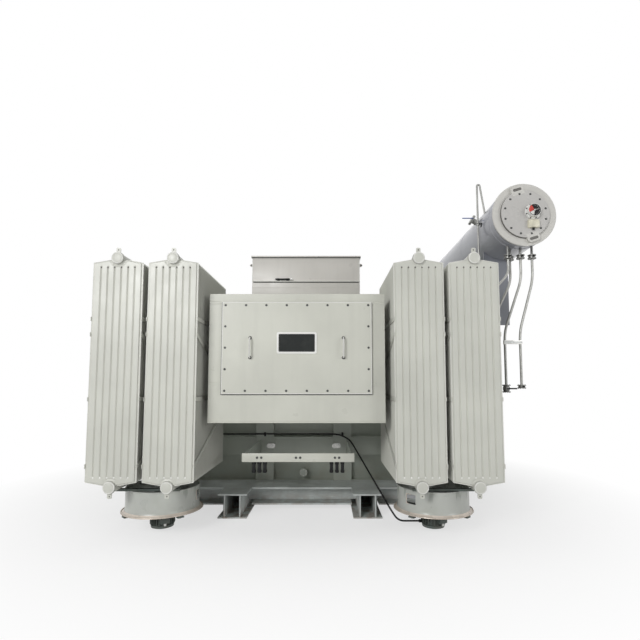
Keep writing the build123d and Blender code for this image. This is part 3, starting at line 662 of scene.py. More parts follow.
def panel_columns(half, fine):
    """Places across a panel, closer together at each valley."""
    inner = half - panel_flange
    pitch = 2 * inner / flute_total
    places = [-half, -inner, -inner + flute_side]
    steps = (-1.0, -0.6, -0.3, 0.0, 0.3, 0.6, 1.0) if fine else (-1.0, 0.0, 1.0)
    for k in range(1, flute_total):
        centre = -inner + k * pitch
        places += [centre + step * valley_width / 2 for step in steps]
        if fine:
            places += [centre - pitch / 2, centre - pitch * 0.3, centre + pitch * 0.3]
    places += [inner - flute_side, inner, half]
    return sorted(set(round(x, 5) for x in places))


def end_edge(x, half, low, high):
    """The bottom and top edge of a panel at one place across it."""
    rise = panel_shoulder * abs(x) / half
    return low + rise, high - rise


def panel_face(shape, x_mid, y_mid, half, low, high, side, fine):
    """One pressed face of a panel, with its border turned back to the seam."""
    if fine:
        steps = [0.0, 0.004, 0.010, 0.016] + [0.022 + 0.008 * i for i in range(17)] + [0.19, 0.6]
        relief = outer_relief
    else:
        steps = [0.0, 0.012, 0.11]
        relief = panel_half_thickness - panel_edge_half
    marks = [(d, 0) for d in steps] + [(d, 1) for d in reversed(steps)]
    if fine:
        marks.insert(len(steps), ((high - low) / 2, 0))
    columns = panel_columns(half, fine)
    rows = []
    for distance, at_top in marks:
        line = []
        for x in columns:
            bottom, top = end_edge(x, half, low, high)
            z = top - distance if at_top else bottom + distance
            depth = panel_relief(x, z, distance, half, low, high, fine)
            y = y_mid + side * (panel_edge_half + relief * depth)
            line.append(Vector((x_mid + x, y, z)))
        rows.append(line)
    return shape.grid(rows)


def panel_relief(x, z, distance, half, low, high, fine):
    """The pressed relief of a panel, from 0 at the seam to 1 on the flutes."""
    border = min(1.0, max(0.0, (distance - 0.006) / 0.010)) if distance < 0.4 else 1.0
    flute = flute_depth(x, half)
    if abs(x) < half - panel_flange - 0.009:
        near_end = min(z - low, high - z)
        fade = min(1.0, max(0.0, (near_end - flute_end + 0.012) / 0.014))
        flute = 1.0 - (1.0 - flute) * fade
    depth = border * flute
    if fine:
        centre = low if z < (low + high) / 2 else high
        away = math.hypot(x, z - centre)
        depth -= 0.55 * math.exp(-((away - 0.082) / 0.007) ** 2) * border
    return depth


def panel(shape, x_mid, y_mid, half, low, high, fine):
    """One hollow panel of two pressed sheets seamed at the edge."""
    front = panel_face(shape, x_mid, y_mid, half, low, high, -1, fine)
    back = panel_face(shape, x_mid, y_mid, half, low, high, 1, False)
    if fine:
        return
    for a, b in ((front[0], back[0]), (front[-1], back[-1])):
        for i in range(len(a) - 1):
            shape.bm.faces.new((a[i], a[i + 1], b[i + 1], b[i]))
    for side in (0, -1):
        for k in range(len(front) - 1):
            shape.bm.faces.new((front[k][side], front[k + 1][side], back[k + 1][side], back[k][side]))


def valley_end_bosses(lower, upper, x_mid, y, half, low, high):
    """Small round bosses where the valleys of the outer panel end; the lower ones in pale paint as painted
    highlight, the upper ones in dark paint as painted shade.
    """
    inner = half - panel_flange
    boss = [(0.0095, -0.010), (0.0090, -0.002), (0.0065, 0.000), (0, 0.001)]
    for x in row(x_mid - inner, x_mid + inner, flute_total + 1)[1:-1]:
        lower.lathe(boss, (x, y, low + flute_end), front_way, 14)
        upper.lathe(boss, (x, y, high - flute_end), front_way, 14)


def lug(shape, dark, x, y, z, up):
    """A lifting tab with round corners and a small hole, filled with a dark disc as painted shade."""
    half = lug_width / 2
    low, high = sorted((-up * 0.012, up * lug_reach))
    hole = up * (lug_reach - half)
    place = front_plane(x, y, z)
    shape.plate([rounded(-half, half, low, high, 0.013), circle(0.0075, 0, hole, 14)], place, -0.008)
    # Dark disc in the hole: painted shade
    dark.plate([circle(0.0074, 0, hole, 14)], place, -0.007)


def header(shape, rim, x, y, z, front, rear):
    """A header tube through the panels with its round cap, a pale ring round the cap as painted highlight,
    and a bead.
    """
    r = header_radius
    shape.lathe([(r - 0.003, 0.0), (r - 0.003, rear - front)], (x, front, z), rear_way, 40)
    cap = [(0, 0), (r - 0.016, 0), (r - 0.012, 0.0015), (r - 0.006, 0.0), (r - 0.001, 0.004),
           (r, 0.010), (r, header_cap - 0.004), (r - 0.004, header_cap + 0.004)]
    shape.lathe(cap, (x, y + cap_setback, z), rear_way, 48)
    ring = [(r - 0.011, 0.0008), (r - 0.005, -0.0004), (r + 0.0004, 0.0045), (r + 0.0006, 0.012)]
    rim.lathe(ring, (x, y + cap_setback, z), rear_way, 48)
    bead = [(r - 0.004, 0.004), (r + 0.003, 0.003), (r + 0.005, -0.001), (r + 0.002, -0.006)]
    shape.lathe(bead, (x, front, z), rear_way, 48)


def radiator_shape(node, lower, upper, rim):
    """One radiator with its panels, headers, caps and tabs."""
    x0, x1, y0, y1, z0, z1 = span(node)
    half, x = (x1 - x0) / 2, (x0 + x1) / 2
    low, high = z0 + header_inset, z1 - header_inset
    front, rear = y0 + header_cap, y1 - header_stub
    shape = Shape()
    first = front + panel_edge_half + outer_relief
    for i, y in enumerate(row(first, rear - panel_half_thickness, panel_total)):
        panel(shape, x, y, half, low, high, i == 0)
    valley_end_bosses(lower, upper, x, front + 0.001, half, low, high)
    for z in (low, high):
        header(shape, rim, x, y0, z, front, y1)
    lug(shape, upper, x, front, high + header_radius, 1)
    lug(shape, upper, x, front, low - header_radius, -1)
    # Pale beads round the outer panel's border: painted highlight on its edges
    foot, shoulder = low + panel_shoulder, high - panel_shoulder
    corners = [(x - half, foot), (x - half, shoulder), (x, high),
               (x + half, shoulder), (x + half, foot), (x, low)]
    for (ax, az), (bx, bz) in zip(corners, corners[1:] + corners[:1]):
        rim.seam((ax, first, az), (bx, first, bz), 0.0032)
    return shape


def radiators():
    """All eight radiators, four in front and their mirror images behind."""
    lower, upper, rim = shapes(3)
    for number in range(1, 5):
        node = "radiator_front_" + str(number)
        shape = radiator_shape(node, lower, upper, rim)
        make("Radiator" + str(number), shape, radiator_paint, [node], mirrored=True)
    # Lower bosses in pale paint: painted highlight; upper bosses and the dark discs in the tabs' holes:
    # painted shade
    make("LowerBossesPaintedHighlight", lower, frame_paint, mirrored=True)
    make("UpperBossesPaintedShade", upper, slot_shade, mirrored=True)
    make("PanelRimHighlights", rim, highlight_paint, mirrored=True)


def flange(shape, x, y, z):
    """A round valve flange across Y with bolts through its face."""
    shape.drum((x, y, z), rear_way, valve_flange_thickness, valve_flange_radius, 0.002, 36)
    out = valve_flange_radius - valve_bolt_size * 1.4
    shape.bolt_ring((x, y, z), front_way, out, 8, valve_bolt_size)
    shape.bolt_ring((x, y + valve_flange_thickness, z), rear_way, out, 8, valve_bolt_size)


def header_pipes(level):
    """The valves and pipes between one level of headers and the tank."""
    node = level + "_header_pipes_front"
    low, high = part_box(node)
    shape = Shape()
    for number in range(1, 5):
        left, right, bottom, top = front_of("radiator_front_" + str(number))
        x, y = (left + right) / 2, low.y
        z = bottom + header_inset if level == "lower" else top - header_inset
        flange(shape, x, y, z)
        body = y + valve_flange_thickness
        shape.drum((x, body, z), rear_way, valve_length - valve_flange_thickness, valve_radius, 0.006, 32)
        shape.drum((x, y + 0.059, z), up_way, 0.120, 0.016, 0.002, 16)
        shape.box(x - 0.012, x + 0.012, y + 0.050, y + 0.068, z + 0.112, z + 0.126)
        flange(shape, x, y + valve_length, z)
        route = [(x, y + 0.110, z), (x, high.y, z)]
        if level == "upper":
            neck, drop = high.y - 0.200, low.z + 0.055
            route[1:] = [(x, neck, z), (x, neck, drop), (x, high.y, drop)]
        shape.tube(route, header_pipe_radius, header_pipe_bend, 24)
        shape.lathe([(0.050, -0.020), (0.054, -0.014), (0.062, 0.0)], route[-1], rear_way, 28)
    make(level.capitalize() + "HeaderPipes", shape, radiator_paint,
         [node], mirrored=True)


def round_point(x, y, radius, degrees, z):
    """A point on a level circle."""
    turn = math.radians(degrees)
    return Vector((x + radius * math.cos(turn), y + radius * math.sin(turn), z))


def trumpet(degrees, z0, offset=0.0):
    """The radius and height of a fan mouth at one place of its curve."""
    turn = math.radians(degrees)
    radius = ring_radius + (mouth_radius - ring_radius) * (1 - math.cos(turn))
    return radius + offset, z0 + mouth_height * (1 - math.sin(turn)) + offset


def fan_ring(shape, lip, x, y, z0, z1, window):
    """A duct with a trumpet mouth and a hand window, the bead on its lip, and pale beads along the window's
    sill, head and one side as painted highlight.
    """
    h, window_steps, window_row = window_half_angle, 4, 9
    turns = [window + t for t in row(-h, h, window_steps + 1) + row(h, 360 - h, 89)[1:-1]]
    middle = (z0 + mouth_height + z1) / 2
    sill, head = middle - window_half_height, middle + window_half_height
    profile = [trumpet(t, z0) for t in row(90, 0, window_row)]
    profile += [(ring_radius, sill), (ring_radius, head), (ring_radius, z1 - 0.012),
                (ring_radius + 0.004, z1 - 0.008), (ring_radius + 0.004, z1)]
    outer, inner = [[[shape.bm.verts.new(round_point(x, y, radius - wall, t, z)) for t in turns]
                     for radius, z in profile] for wall in (0.0, ring_wall)]
    for rings in (outer, inner):
        for k, (low, high) in enumerate(zip(rings, rings[1:])):
            for i in range(window_steps if k == window_row else 0, len(turns)):
                j = (i + 1) % len(turns)
                shape.bm.faces.new((low[i], low[j], high[j], high[i]))
    for k in (0, -1):
        shape.bridge(outer[k], inner[k])
    for k in (window_row, window_row + 1):
        for i in range(window_steps):
            shape.bm.faces.new((outer[k][i], outer[k][i + 1], inner[k][i + 1], inner[k][i]))
    k = window_row
    for i in (0, window_steps):
        shape.bm.faces.new((outer[k][i], outer[k + 1][i], inner[k + 1][i], inner[k][i]))
    bead = circle(0.005, mouth_radius - 0.005, z0 + 0.005, 8)
    lip.lathe(bead, (x, y, 0), up_way, 96, closed=True)
    lip.lathe([trumpet(t, z0, 0.0015) for t in row(90, 34, 5)], (x, y, 0), up_way, 96)
    # Pale beads on the window's sill, head and one side only: painted highlight on its lit edges
    for z in (sill, head):
        arc = [round_point(x, y, ring_radius + 0.001, t, z) for t in turns[:window_steps + 1]]
        lip.tube(arc, 0.004, 0.0, 6)
    side = [round_point(x, y, ring_radius, window - h, z) for z in (sill, head)]
    lip.seam(*side, 0.004)


def fan_motor(shape, bright, x, y, z0, top):
    """A finned motor with its end bell, cowl and small wiring box."""
    body = [(0, z0), (0.085, z0), (0.120, z0 + 0.012), (0.126, z0 + 0.040), (0.112, z0 + 0.044),
            (0.112, top - 0.030), (0.128, top - 0.026), (0.128, top - 0.010), (0.060, top), (0, top)]
    shape.lathe(body, (x, y, 0), up_way, 40)
    for i in range(motor_fins):
        turn = turned(x, y, 360 * i / motor_fins)
        shape.box(0.106, 0.134, -0.0025, 0.0025, z0 + 0.050, top - 0.034, 0.0, turn)
    shape.drum((x, y, top - 0.006), up_way, 0.094, 0.020, 0.002, 20)
    box = turned(x, y, -60)
    shape.box(0.120, 0.168, -0.050, 0.050, z0 + 0.075, z0 + 0.150, 0.006, box)
    bright.drum(box @ Vector((0.150, 0, z0 + 0.075)), down_way, 0.027, 0.014, 0.002, 14)
    bright.bolt_ring((x, y, top - 0.026), down_way, 0.118, 8, 0.007)


def fan_wheel(shape, x, y, z0, z1):
    """A hub with twisted blades."""
    hub = [(0, z0), (0.070, z0), (0.098, z0 + 0.010), (0.105, z0 + 0.024), (0.105, z1 - 0.020),
           (0.095, z1 - 0.006), (0.050, z1), (0, z1)]
    shape.lathe(hub, (x, y, 0), up_way, 36)
    middle = (z0 + z1) / 2
    for i in range(blade_total):
        turn = turned(x, y, 360 * i / blade_total)
        for side in (-1, 1):
            shape.grid([[turn @ blade_point(t, s, side, middle) for s in row(-0.5, 0.5, 7)]
                        for t in row(0, 1, 9)])


def blade_point(t, s, side, middle):
    """A point on a blade, from root to tip by t and across it by s."""
    pitch = math.radians(blade_pitch - blade_twist * t)
    chord = blade_chord + blade_swell * math.sin(math.pi * t * 0.8)
    bow = 1 - 4 * s * s
    u, v = s * chord, (blade_camber + blade_half_thickness * side) * bow
    across = u * math.cos(pitch) - v * math.sin(pitch)
    rise = u * math.sin(pitch) + v * math.cos(pitch)
    return Vector((blade_root + t * blade_length, across, middle + rise * 0.88))


def fans():
    """The ducts, arms, motors and wheels below both banks."""
    x0, x1, y0, y1, z0, z1 = span("fan_rings_front")
    rings, lips, motors, brights, wheels, arms = shapes(6)
    y, tip = (y0 + y1) / 2, mouth_radius - 0.001
    motor_low = span("fan_motors_front")[4]
    arm_low, arm_top = span("fan_arms")[4:]
    wheel_low, wheel_top = span("fan_impellers_front")[4:]
    foot = arm_low - arm_foot_thickness
    for x, window in zip((x0 + mouth_radius, x1 - mouth_radius), window_angles):
        fan_ring(rings, lips, x, y, z0, z1, window)
        fan_motor(motors, brights, x, y, motor_low, arm_low)
        fan_wheel(wheels, x, y, wheel_low, wheel_top)
        for angle in arm_angles:
            turn = turned(x, y, angle)
            arms.box(0.070, tip, -0.028, 0.028, arm_low, arm_top, 0.002, turn)
            arms.box(arm_foot_start, tip, -0.036, 0.036, foot, arm_low, 0.003, turn)
            for reach, under in ((0.095, arm_low), (0.410, foot)):
                brights.bolt(turn @ Vector((reach, 0, under)), down_way, 0.011)
    make("FanRings", rings, fan_paint, ["fan_rings_front"], mirrored=True)
    make("FanLipsAndWindowHighlights", lips, lip_metal, mirrored=True)
    make("FanMotors", motors, motor_paint, ["fan_motors_front"], mirrored=True)
    make("FanFasteners", brights, bolt_metal, mirrored=True)
    make("FanWheels", wheels, blade_metal, ["fan_impellers_front"], mirrored=True)
    make("FanArms", arms, motor_paint, ["fan_arms"], mirrored=True)


def tank():
    """The tank's walls, rim and cover with their gasket and bolts."""
    x0, x1, y0, y1, z0, z1 = span("tank_body")
    top, rim = span("tank_cover")[5], z1 - rim_thickness
    left, right = x0 + rim_reach, x1 - rim_reach
    body, cover, gasket, bolts = shapes(4)
    body.box(left, right, y0 + rim_reach, y1 - rim_reach, z0, z1 - 0.001, 0.004)
    body.box(x0, x1, y0, y1, rim, z1 - 0.001, 0.003)
    body.box(left, right, y0 + 0.038, y1 - 0.038, z0 - 0.011, z0 + 0.003)
    cover.box(x0, x1, y0, y1, z1 + 0.001, top, 0.004)
    gasket.box(x0 + 0.008, x1 - 0.008, y0 + 0.008, y1 - 0.008, z1 - 0.002, z1 + 0.002, 0.0)
    inset = cover_bolt_inset
    spots = [(x, y) for x in row(x0 + 0.07, x1 - 0.07, 30) for y in (y0 + inset, y1 - inset)]
    spots += [(x, y) for y in row(y0 + 0.17, y1 - 0.17, 11) for x in (x0 + inset, x1 - inset)]
    for x, y in spots:
        bolts.bolt((x, y, top), up_way, cover_bolt_size)
        bolts.bolt((x, y, rim), down_way, cover_bolt_size)
    make("TankBody", body, tank_paint, ["tank_body"])
    make("TankCover", cover, tank_paint, ["tank_cover"])
    make("CoverGasket", gasket, gasket_rubber)
    make("CoverBolts", bolts, bolt_metal)


def tank_fittings():
    """The earthing pads with their studs, and the flanged drain."""
    low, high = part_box("tank_fittings")
    belt_low, belt_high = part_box("tank_belts")
    face, level = belt_low.y, (belt_low.z + belt_high.z) / 2
    pads, studs, drain = shapes(3)
    for side in (-1, 1):
        x = side * (high.x - pad_half)
        outline = rounded(-pad_half, pad_half, -0.032, 0.032, 0.031)
        pads.plate([outline], front_plane(x, face, level), pad_thickness)
        for stud_x in (x - 0.030, x + 0.030):
            studs.bolt((stud_x, face - pad_thickness, level), front_way, 0.011)
    z = low.z + 0.058
    for y in (low.y, low.y + drain_plate + 0.002):
        drain.drum((0, y, z), rear_way, drain_plate, drain_radius, 0.003, 32)
    neck = low.y + drain_plate
    drain.drum((0, neck, z), rear_way, face + belt_depth - neck, 0.032, 0.001, 24)
    studs.bolt_ring((0, low.y, z), front_way, 0.043, 6, 0.008)
    make("EarthingPads", pads, bolt_metal, ["tank_fittings"])
    make("TankDrain", drain, tank_paint, ["tank_fittings"])
    make("FittingBolts", studs, bolt_metal)


def weld_seams():
    """Weld beads where the posts and belt meet the tank wall."""
    shape = Shape()
    low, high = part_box("tank_belts")
    face, wall = low.y + 0.001, low.y + belt_depth
    foot, head = span("tank_posts")[4:]
    posts = row(-1.5 * post_pitch, 1.5 * post_pitch, 4)
    for x in posts:
        for edge in (x - post_half, x + post_half):
            shape.seam((edge, wall, foot + 0.005), (edge, wall, head - 0.010), 0.005)
            shape.seam((edge, face, low.z), (edge, face, high.z), 0.004)
    for a, b in zip(posts, posts[1:]):
        for z in (low.z, high.z):
            shape.seam((a + post_half, wall, z), (b - post_half, wall, z), 0.005)
    make("TankWelds", shape, tank_paint, mirrored=True)


def base_details():
    """Tow plates on the skids, and the cross beam's ribs and bolts."""
    low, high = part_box("skid_left")
    shape, bolts = shapes(2)
    outlines = [rounded(-0.060, 0.060, -0.075, 0.075, 0.02), circle(0.028, 0, 0, 18)]
    web = abs(low.x + high.x) / 2 + 0.101
    for way in (left_way, right_way):
        for end in (low.y + 0.11, high.y - 0.11):
            shape.plate(outlines, facing((way[0] * web, end, tow_plate_height), way), 0.016)
    low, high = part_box("cross_beam_front")
    middle, under = (low.y + high.y) / 2, high.z - beam_flange
    for x in both_sides(beam_rib_places):
        shape.box(x - 0.005, x + 0.005, middle + 0.010, middle + 0.205, low.z + beam_flange, under)
    for x in both_sides(beam_bolt_places):
        for y in (low.y + 0.045, high.y - 0.045):
            bolts.bolt((x, y, under), down_way, 0.015)
    make("BaseRibs", shape, skid_paint, mirrored=True)
    make("BaseBolts", bolts, bolt_metal, mirrored=True)


def cable_box():
    """The cable box's door with its window frame, gaskets, bolts, seams and handles, a pale border on the
    door as painted highlight, and a dark line along its left and lower edges as painted shadow.
    """
    left, right, bottom, top = front_of("cable_box_body")
    door, pane = front_of("cable_box_door"), front_of("cable_box_window")
    face, front = span("cable_box_door")[2:4]
    face += 0.010
    leaf, lip, window_frame, gasket, bolts, seams, handles, feet = shapes(8)
    edge = rounded(*door, 0.004, 2)
    opening = rounded(*pane, 0.012)
    leaf.plate([edge, opening], front_plane(0, front, 0), front - face)
    # A pale border round the door's face: painted highlight
    lip.plate([edge, rounded(*grown(door, -0.009), 0.003, 2)], front_plane(0, face, 0), 0.0015)
    make("DoorLipHighlight", lip, highlight_paint)
    window_frame.plate([rounded(*grown(pane, 0.020), 0.020), opening], front_plane(0, face, 0), 0.009)
    make("WindowFrame", window_frame, frame_paint)
    door_x0, door_x1, door_z0, door_z1 = door
    # The outer gasket stands wider at the left and bottom than at the right and top, as a dark line there:
    # painted shadow
    gasket.plate([rounded(door_x0 - 0.009, door_x1 + 0.003, door_z0 - 0.009, door_z1 + 0.002, 0.004, 2),
                  rounded(*grown(door, -0.06), 0.02)], front_plane(0, front, 0), 0.006)
    gasket.plate([rounded(*grown(pane, 0.001), 0.019), rounded(*grown(pane, -0.007), 0.014)],
                 front_plane(0, face - 0.002, 0), 0.006)
    bolt_x0, bolt_x1, bolt_z0, bolt_z1 = grown(door, -door_bolt_inset)
    spots = [(x, z) for x in row(bolt_x0, bolt_x1, 8) for z in (bolt_z0, bolt_z1)]
    spots += [(x, z) for z in row(bolt_z0, bolt_z1, 5)[1:-1] for x in (bolt_x0, bolt_x1)]
    for x, z in spots:
        bolts.bolt((x, face, z), front_way, door_bolt_size)
    for x in (left + 0.001, right - 0.001):
        inner, outer = sorted((x, math.copysign(door_x1 + 0.02, x)))
        for low in (bottom + 0.40, top - 0.11):
            for z in (low, low + 0.028):
                seams.seam((inner, front + 0.001, z), (outer, front + 0.001, z), 0.0035)
    for x in (left + 0.003, right - 0.003):
        seams.seam((x, front + 0.003, bottom + 0.004), (x, front + 0.003, top - 0.004), 0.003, 8)
    make("CableBoxDoor", leaf, box_paint, ["cable_box_door"])
    make("DoorGasketsAndShadowLine", gasket, gasket_rubber)
    make("DoorBolts", bolts, dark_bolt_metal)
    make("BoxSeams", seams, box_paint)
    low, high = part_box("cable_box_handles")
    foot, head, out = low.z + 0.012, high.z - 0.012, low.y + 0.011
    for x in (low.x + 0.011, high.x - 0.011):
        bar = [(x, face, foot), (x, out, foot), (x, out, head), (x, face, head)]
        handles.tube(bar, handle_radius, 0.022, 16)
        for z in (foot, head):
            feet.drum((x, face - 0.005, z), rear_way, 0.005, 0.018, 0.002, 24)
    make("DoorHandles", handles, handle_paint, ["cable_box_handles"])
    make("HandleFeet", feet, dark_bolt_metal)


def fan_cable():
    """The black cable along the wall, with its saddles and glands."""
    low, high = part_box("fan_cable")
    cable, clips = shapes(2)
    start, level, y = low.x + cable_radius, high.z - cable_radius, low.y + cable_radius
    rim = span("tank_body")[2]
    wall = rim + rim_reach
    fan_x, end = span("fan_motors_front")[1] - motor_radius, cable_end_level
    route = [(start, wall - 0.020, level), (start, rim, level), (cable_leaves_wall, rim, level),
             (fan_x - cable_knee_out, y, cable_knee_level), (fan_x - ring_radius, y, end),
             (high.x - 0.014, y, end)]
    cable.tube(route, cable_radius, 0.24, 14)
    clips.drum((start, wall, level), front_way, 0.028, 0.022, 0.002, 6)
    clips.drum((start, wall - 0.026, level), front_way, 0.016, 0.017, 0.004, 16)
    clips.drum((high.x - 0.026, y, end), right_way, 0.052, 0.018, 0.003, 16)
    for x in (-post_pitch / 2, post_pitch / 2):
        clips.box(x - 0.013, x + 0.013, rim - 0.013, rim + 0.015, level - 0.014, level + 0.014, 0.006)
        clips.box(x - 0.013, x + 0.013, rim + 0.011, rim + 0.015, level - 0.034, level + 0.022, 0.001)
    make("FanCable", cable, cable_black, ["fan_cable"])
    make("FanCableClips", clips, black_plastic, ["fan_cable_clips"])


def cable_rail():
    """The support angle with its bolts, and the cable clamps below it."""
    low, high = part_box("cable_rail")
    rail, bolts, clamps = shapes(3)
    rail.box(low.x, high.x, low.y, low.y + rail_thickness, low.z, high.z)
    rail.box(low.x, high.x, low.y + 0.006, high.y, low.z, low.z + rail_thickness)
    for group in (-rail_group, 0.0, rail_group):
        for x in (group - rail_bolt_half_pitch, group + rail_bolt_half_pitch):
            bolts.bolt((x, low.y, (low.z + high.z) / 2), front_way, 0.013)
    y0, y1, z0, z1 = span("cable_cleats")[2:]
    for group in (-rail_group, rail_group):
        for x in row(group - clamp_pitch, group + clamp_pitch, 3):
            clamps.box(x - 0.022, x + 0.022, y0 + 0.006, y1, z1 - 0.030, z1 - 0.001, 0.003)
            clamps.box(x - 0.018, x + 0.018, y0, y1 - 0.010, z0, z1 - 0.024, 0.005)
            clamps.box(x - 0.022, x + 0.022, y0 + 0.010, y1, z0 + 0.004, z0 + 0.028, 0.004)
            clamps.bolt((x, y0 + 0.006, z1 - 0.016), front_way, 0.006)
    make("CableRail", rail, box_paint, ["cable_rail"])
    make("RailBolts", bolts, dark_bolt_metal)
    make("CableClamps", clamps, black_plastic, ["cable_cleats"])


def box_lug(body, dark, x, y, z, side):
    """A lifting lug at the top of the terminal box with a dark bush in its hole."""
    reach, hole = side * box_lug_reach, side * 0.026
    outline = [(0, -0.023), (hole, -0.023), (reach, -0.006), (reach, 0.006), (hole, 0.023), (0, 0.023)]
    body.plate([outline, circle(0.009, hole, 0, 14)], front_plane(x, y + 0.007, z), 0.014)
    dark.drum((x + hole, y - 0.014, z), rear_way, 0.028, 0.0105, 0.002, 14)


def top_box():
    """The terminal box on the cover with its ledge, lid, seams and latch, pale strips on the ledge and front
    edges as painted highlight, and dark strips under the ledge and lid as painted shadow.
    """
    x1, y0, y1, z0, z1 = span("top_box_body")[1:]
    body, lid, bolts, latch, edge, dark, knob = shapes(7)
    right, left, rear, front = x1 - box_lug_reach, box_lug_reach - x1, y1, -y1
    body.box(left, right, front, rear, z0, z1, 0.004)
    ledge = z0 + ledge_rise
    # Pale strips on the ledge and the front's side edges: painted highlight
    edge.box(left + 0.012, right - 0.012, y0, front + 0.004, ledge, ledge + 0.012, 0.003)
    for x in (left, right - 0.010):
        edge.box(x, x + 0.010, front - 0.003, front + 0.004, ledge, z1, 0.001)
    # A dark strip under the ledge: painted shadow
    dark.box(left + 0.016, right - 0.016, front - 0.003, front + 0.004, ledge - 0.012, ledge, 0.001)
    body.box(left, right, front - 0.006, front + 0.004, z0, z0 + 0.030, 0.003)
    body.seam((left + 0.002, front, ledge - 0.090), (right - 0.002, front, ledge - 0.090), 0.003)
    for x in both_sides(box_seam_places):
        body.seam((x, front, ledge + 0.012), (x, front, z1), 0.0025)
    for side in (-1, 1):
        for y in (front + box_lug_inset, rear - box_lug_inset):
            box_lug(body, dark, side * right, y, z1 - box_lug_drop, side)
    lx0, lx1, ly0, ly1, lz0, lz1 = span("top_box_lid")
    lid.box(lx0, lx1, ly0, ly1, lz0, lz1, 0.006)
    # A dark strip under the lid's front edge: painted shadow
    dark.box(lx0 + 0.004, lx1 - 0.004, ly0 + 0.004, ly0 + 0.050, lz0 - 0.010, lz0, 0.001)
    for x in row(left + 0.06, right - 0.06, 9):
        bolts.bolt((x, ly0, (lz0 + lz1) / 2), front_way, 0.008)
        bolts.bolt((x, front - 0.006, z0 + 0.018), front_way, 0.008)
    ax0, ax1, ay0, ay1, az0, az1 = span("top_box_latch")
    latch.box(ax0, ax1, ay0, ay0 + 0.021, az0, az1, 0.007)
    for x in (ax0 + 0.030, ax1 - 0.058):
        latch.box(x, x + 0.028, ay0 + 0.016, ay1, az0, az1, 0.003)
        latch.box(x - 0.008, x + 0.036, ay1 - 0.005, ay1, az0 - 0.010, az1 + 0.010)
    knob_start = (ax1 - 0.006, (ay0 + ay1) / 2 - 0.010, (az0 + az1) / 2)
    knob.drum(knob_start, right_way, 0.040, 0.011, 0.003, 20)
    make("TopBoxBody", body, top_box_paint, ["top_box_body"])
    make("TopBoxLid", lid, top_box_paint, ["top_box_lid"])
    make("TopBoxEdgeHighlights", edge, highlight_paint)
    make("TopBoxShadowStripsAndBushes", dark, gasket_rubber)
    make("TopBoxBolts", bolts, bolt_metal)
    make("TopBoxLatch", latch, black_plastic, ["top_box_latch"])
    make("LatchKnob", knob, chrome)


def conservator():
    """The shell with its ridges and seam, and the front flange."""
    x0, x1, y0, y1, z0, z1 = span("conservator_shell")
    x, z, r = (x0 + x1) / 2, (z0 + z1) / 2, (x1 - x0) / 2
    front, length = span("conservator_rim")[2], y1 - y0
    profile = [(r, 0.0)]
    for start in bead_places:
        profile += [(r, start), (r + 0.004, start + 0.005), (r + 0.004, start + 0.017), (r, start + 0.022)]
    for start in ridge_places:
        profile += [(r, start - 0.010), (r, start), (r + 0.002, start + 0.003),
                    (r + 0.002, start + 0.009), (r, start + 0.012), (r, start + 0.022)]
    profile += [(r, length - 0.050), (r, length - 0.030), (r - 0.010, length - 0.010),
                (r - 0.030, length), (0, length)]
    shell, rim = shapes(2)
    shell.lathe(profile, (x, y0, z), rear_way, 96)
    turn = math.radians(shell_seam_angle)
    seam_x, seam_z = x + r * math.cos(turn), z + r * math.sin(turn)
    shell.seam((seam_x, y0 + 0.15, seam_z), (seam_x, y1 - 0.05, seam_z), 0.003)
    make("ConservatorShell", shell, conservator_paint, ["conservator_shell"])
    out = r + 0.014
    profile = [(0, 0), (out - 0.004, 0), (out, 0.004), (out, 0.018), (out - 0.004, 0.022), (r - 0.02, 0.022)]
    rim.lathe(profile, (x, front, z), rear_way, 96)
    make("ConservatorRim", rim, rim_paint, ["conservator_rim"])
    hatch(x, front, z)


def hatch(x, front, z):
    """The hatch plate with slotted ears and its ring of bolts, a dark band round its side and dark fills in
    the slots as painted shade, and ears in paler paint as painted highlight.
    """
    plate, bolts, dark, ears = shapes(4)
    r, thick = hatch_radius, hatch_thickness
    profile = [(r - 0.001, 0), (r, 0.002), (r, thick - 0.003), (r - 0.003, thick), (0, thick)]
    plate.lathe(profile, (x, front, z), front_way, 96)
    band = thick - 0.007
    # A dark band over most of the hatch's side: painted shade
    dark.lathe([(r + 0.0015, 0.0), (r + 0.0015, band), (r - 0.004, band)], (x, front, z), front_way, 96)
    middle, half = r + ear_slot_out, ear_slot_width / 2
    slot = rounded(middle - half, middle + half, -ear_slot_half, ear_slot_half, half - 0.0001)
    reach, side = half + ear_border, ear_slot_half + ear_border
    corner = [(middle + reach * math.sin(t), side - reach + reach * math.cos(t))
              for t in row(0, math.pi / 2, 7)]
    upper = [(r - 0.045, side)] + corner
    ear = upper + [(px, -py) for px, py in reversed(upper)]
    for angle in ear_angles:
        turn = front_plane(x, front, z) @ Matrix.Rotation(math.radians(angle), 4, "Z")
        # Ears in paler paint than the hatch: painted highlight on their edges; the dark fill in each slot:
        # painted shade
        ears.plate([ear, slot], turn, thick + 0.0015)
        dark.plate([slot], turn, thick + 0.0004)
    bolts.bolt_ring((x, front - thick, z), front_way, r - 0.038, hatch_bolt_total, 0.0115)
    make("ConservatorHatch", plate, hatch_paint, ["conservator_hatch"])
    make("HatchBolts", bolts, dark_bolt_metal)
    make("HatchPaintedShade", dark, slot_shade)
    make("HatchEarsPaintedHighlight", ears, rim_paint, ["conservator_hatch"])
    gauge(x + gauge_dx, front - thick, z + gauge_dz)
    wiring_box()


def sector(shape, place, inner, outer, start, end, height, steps=18):
    """A flat part of a ring between two angles."""
    turns = [math.radians(t) for t in row(start, end, steps + 1)]
    shape.grid([[place @ Vector((radius * math.cos(t), radius * math.sin(t), height)) for t in turns]
                for radius in (inner, outer)])


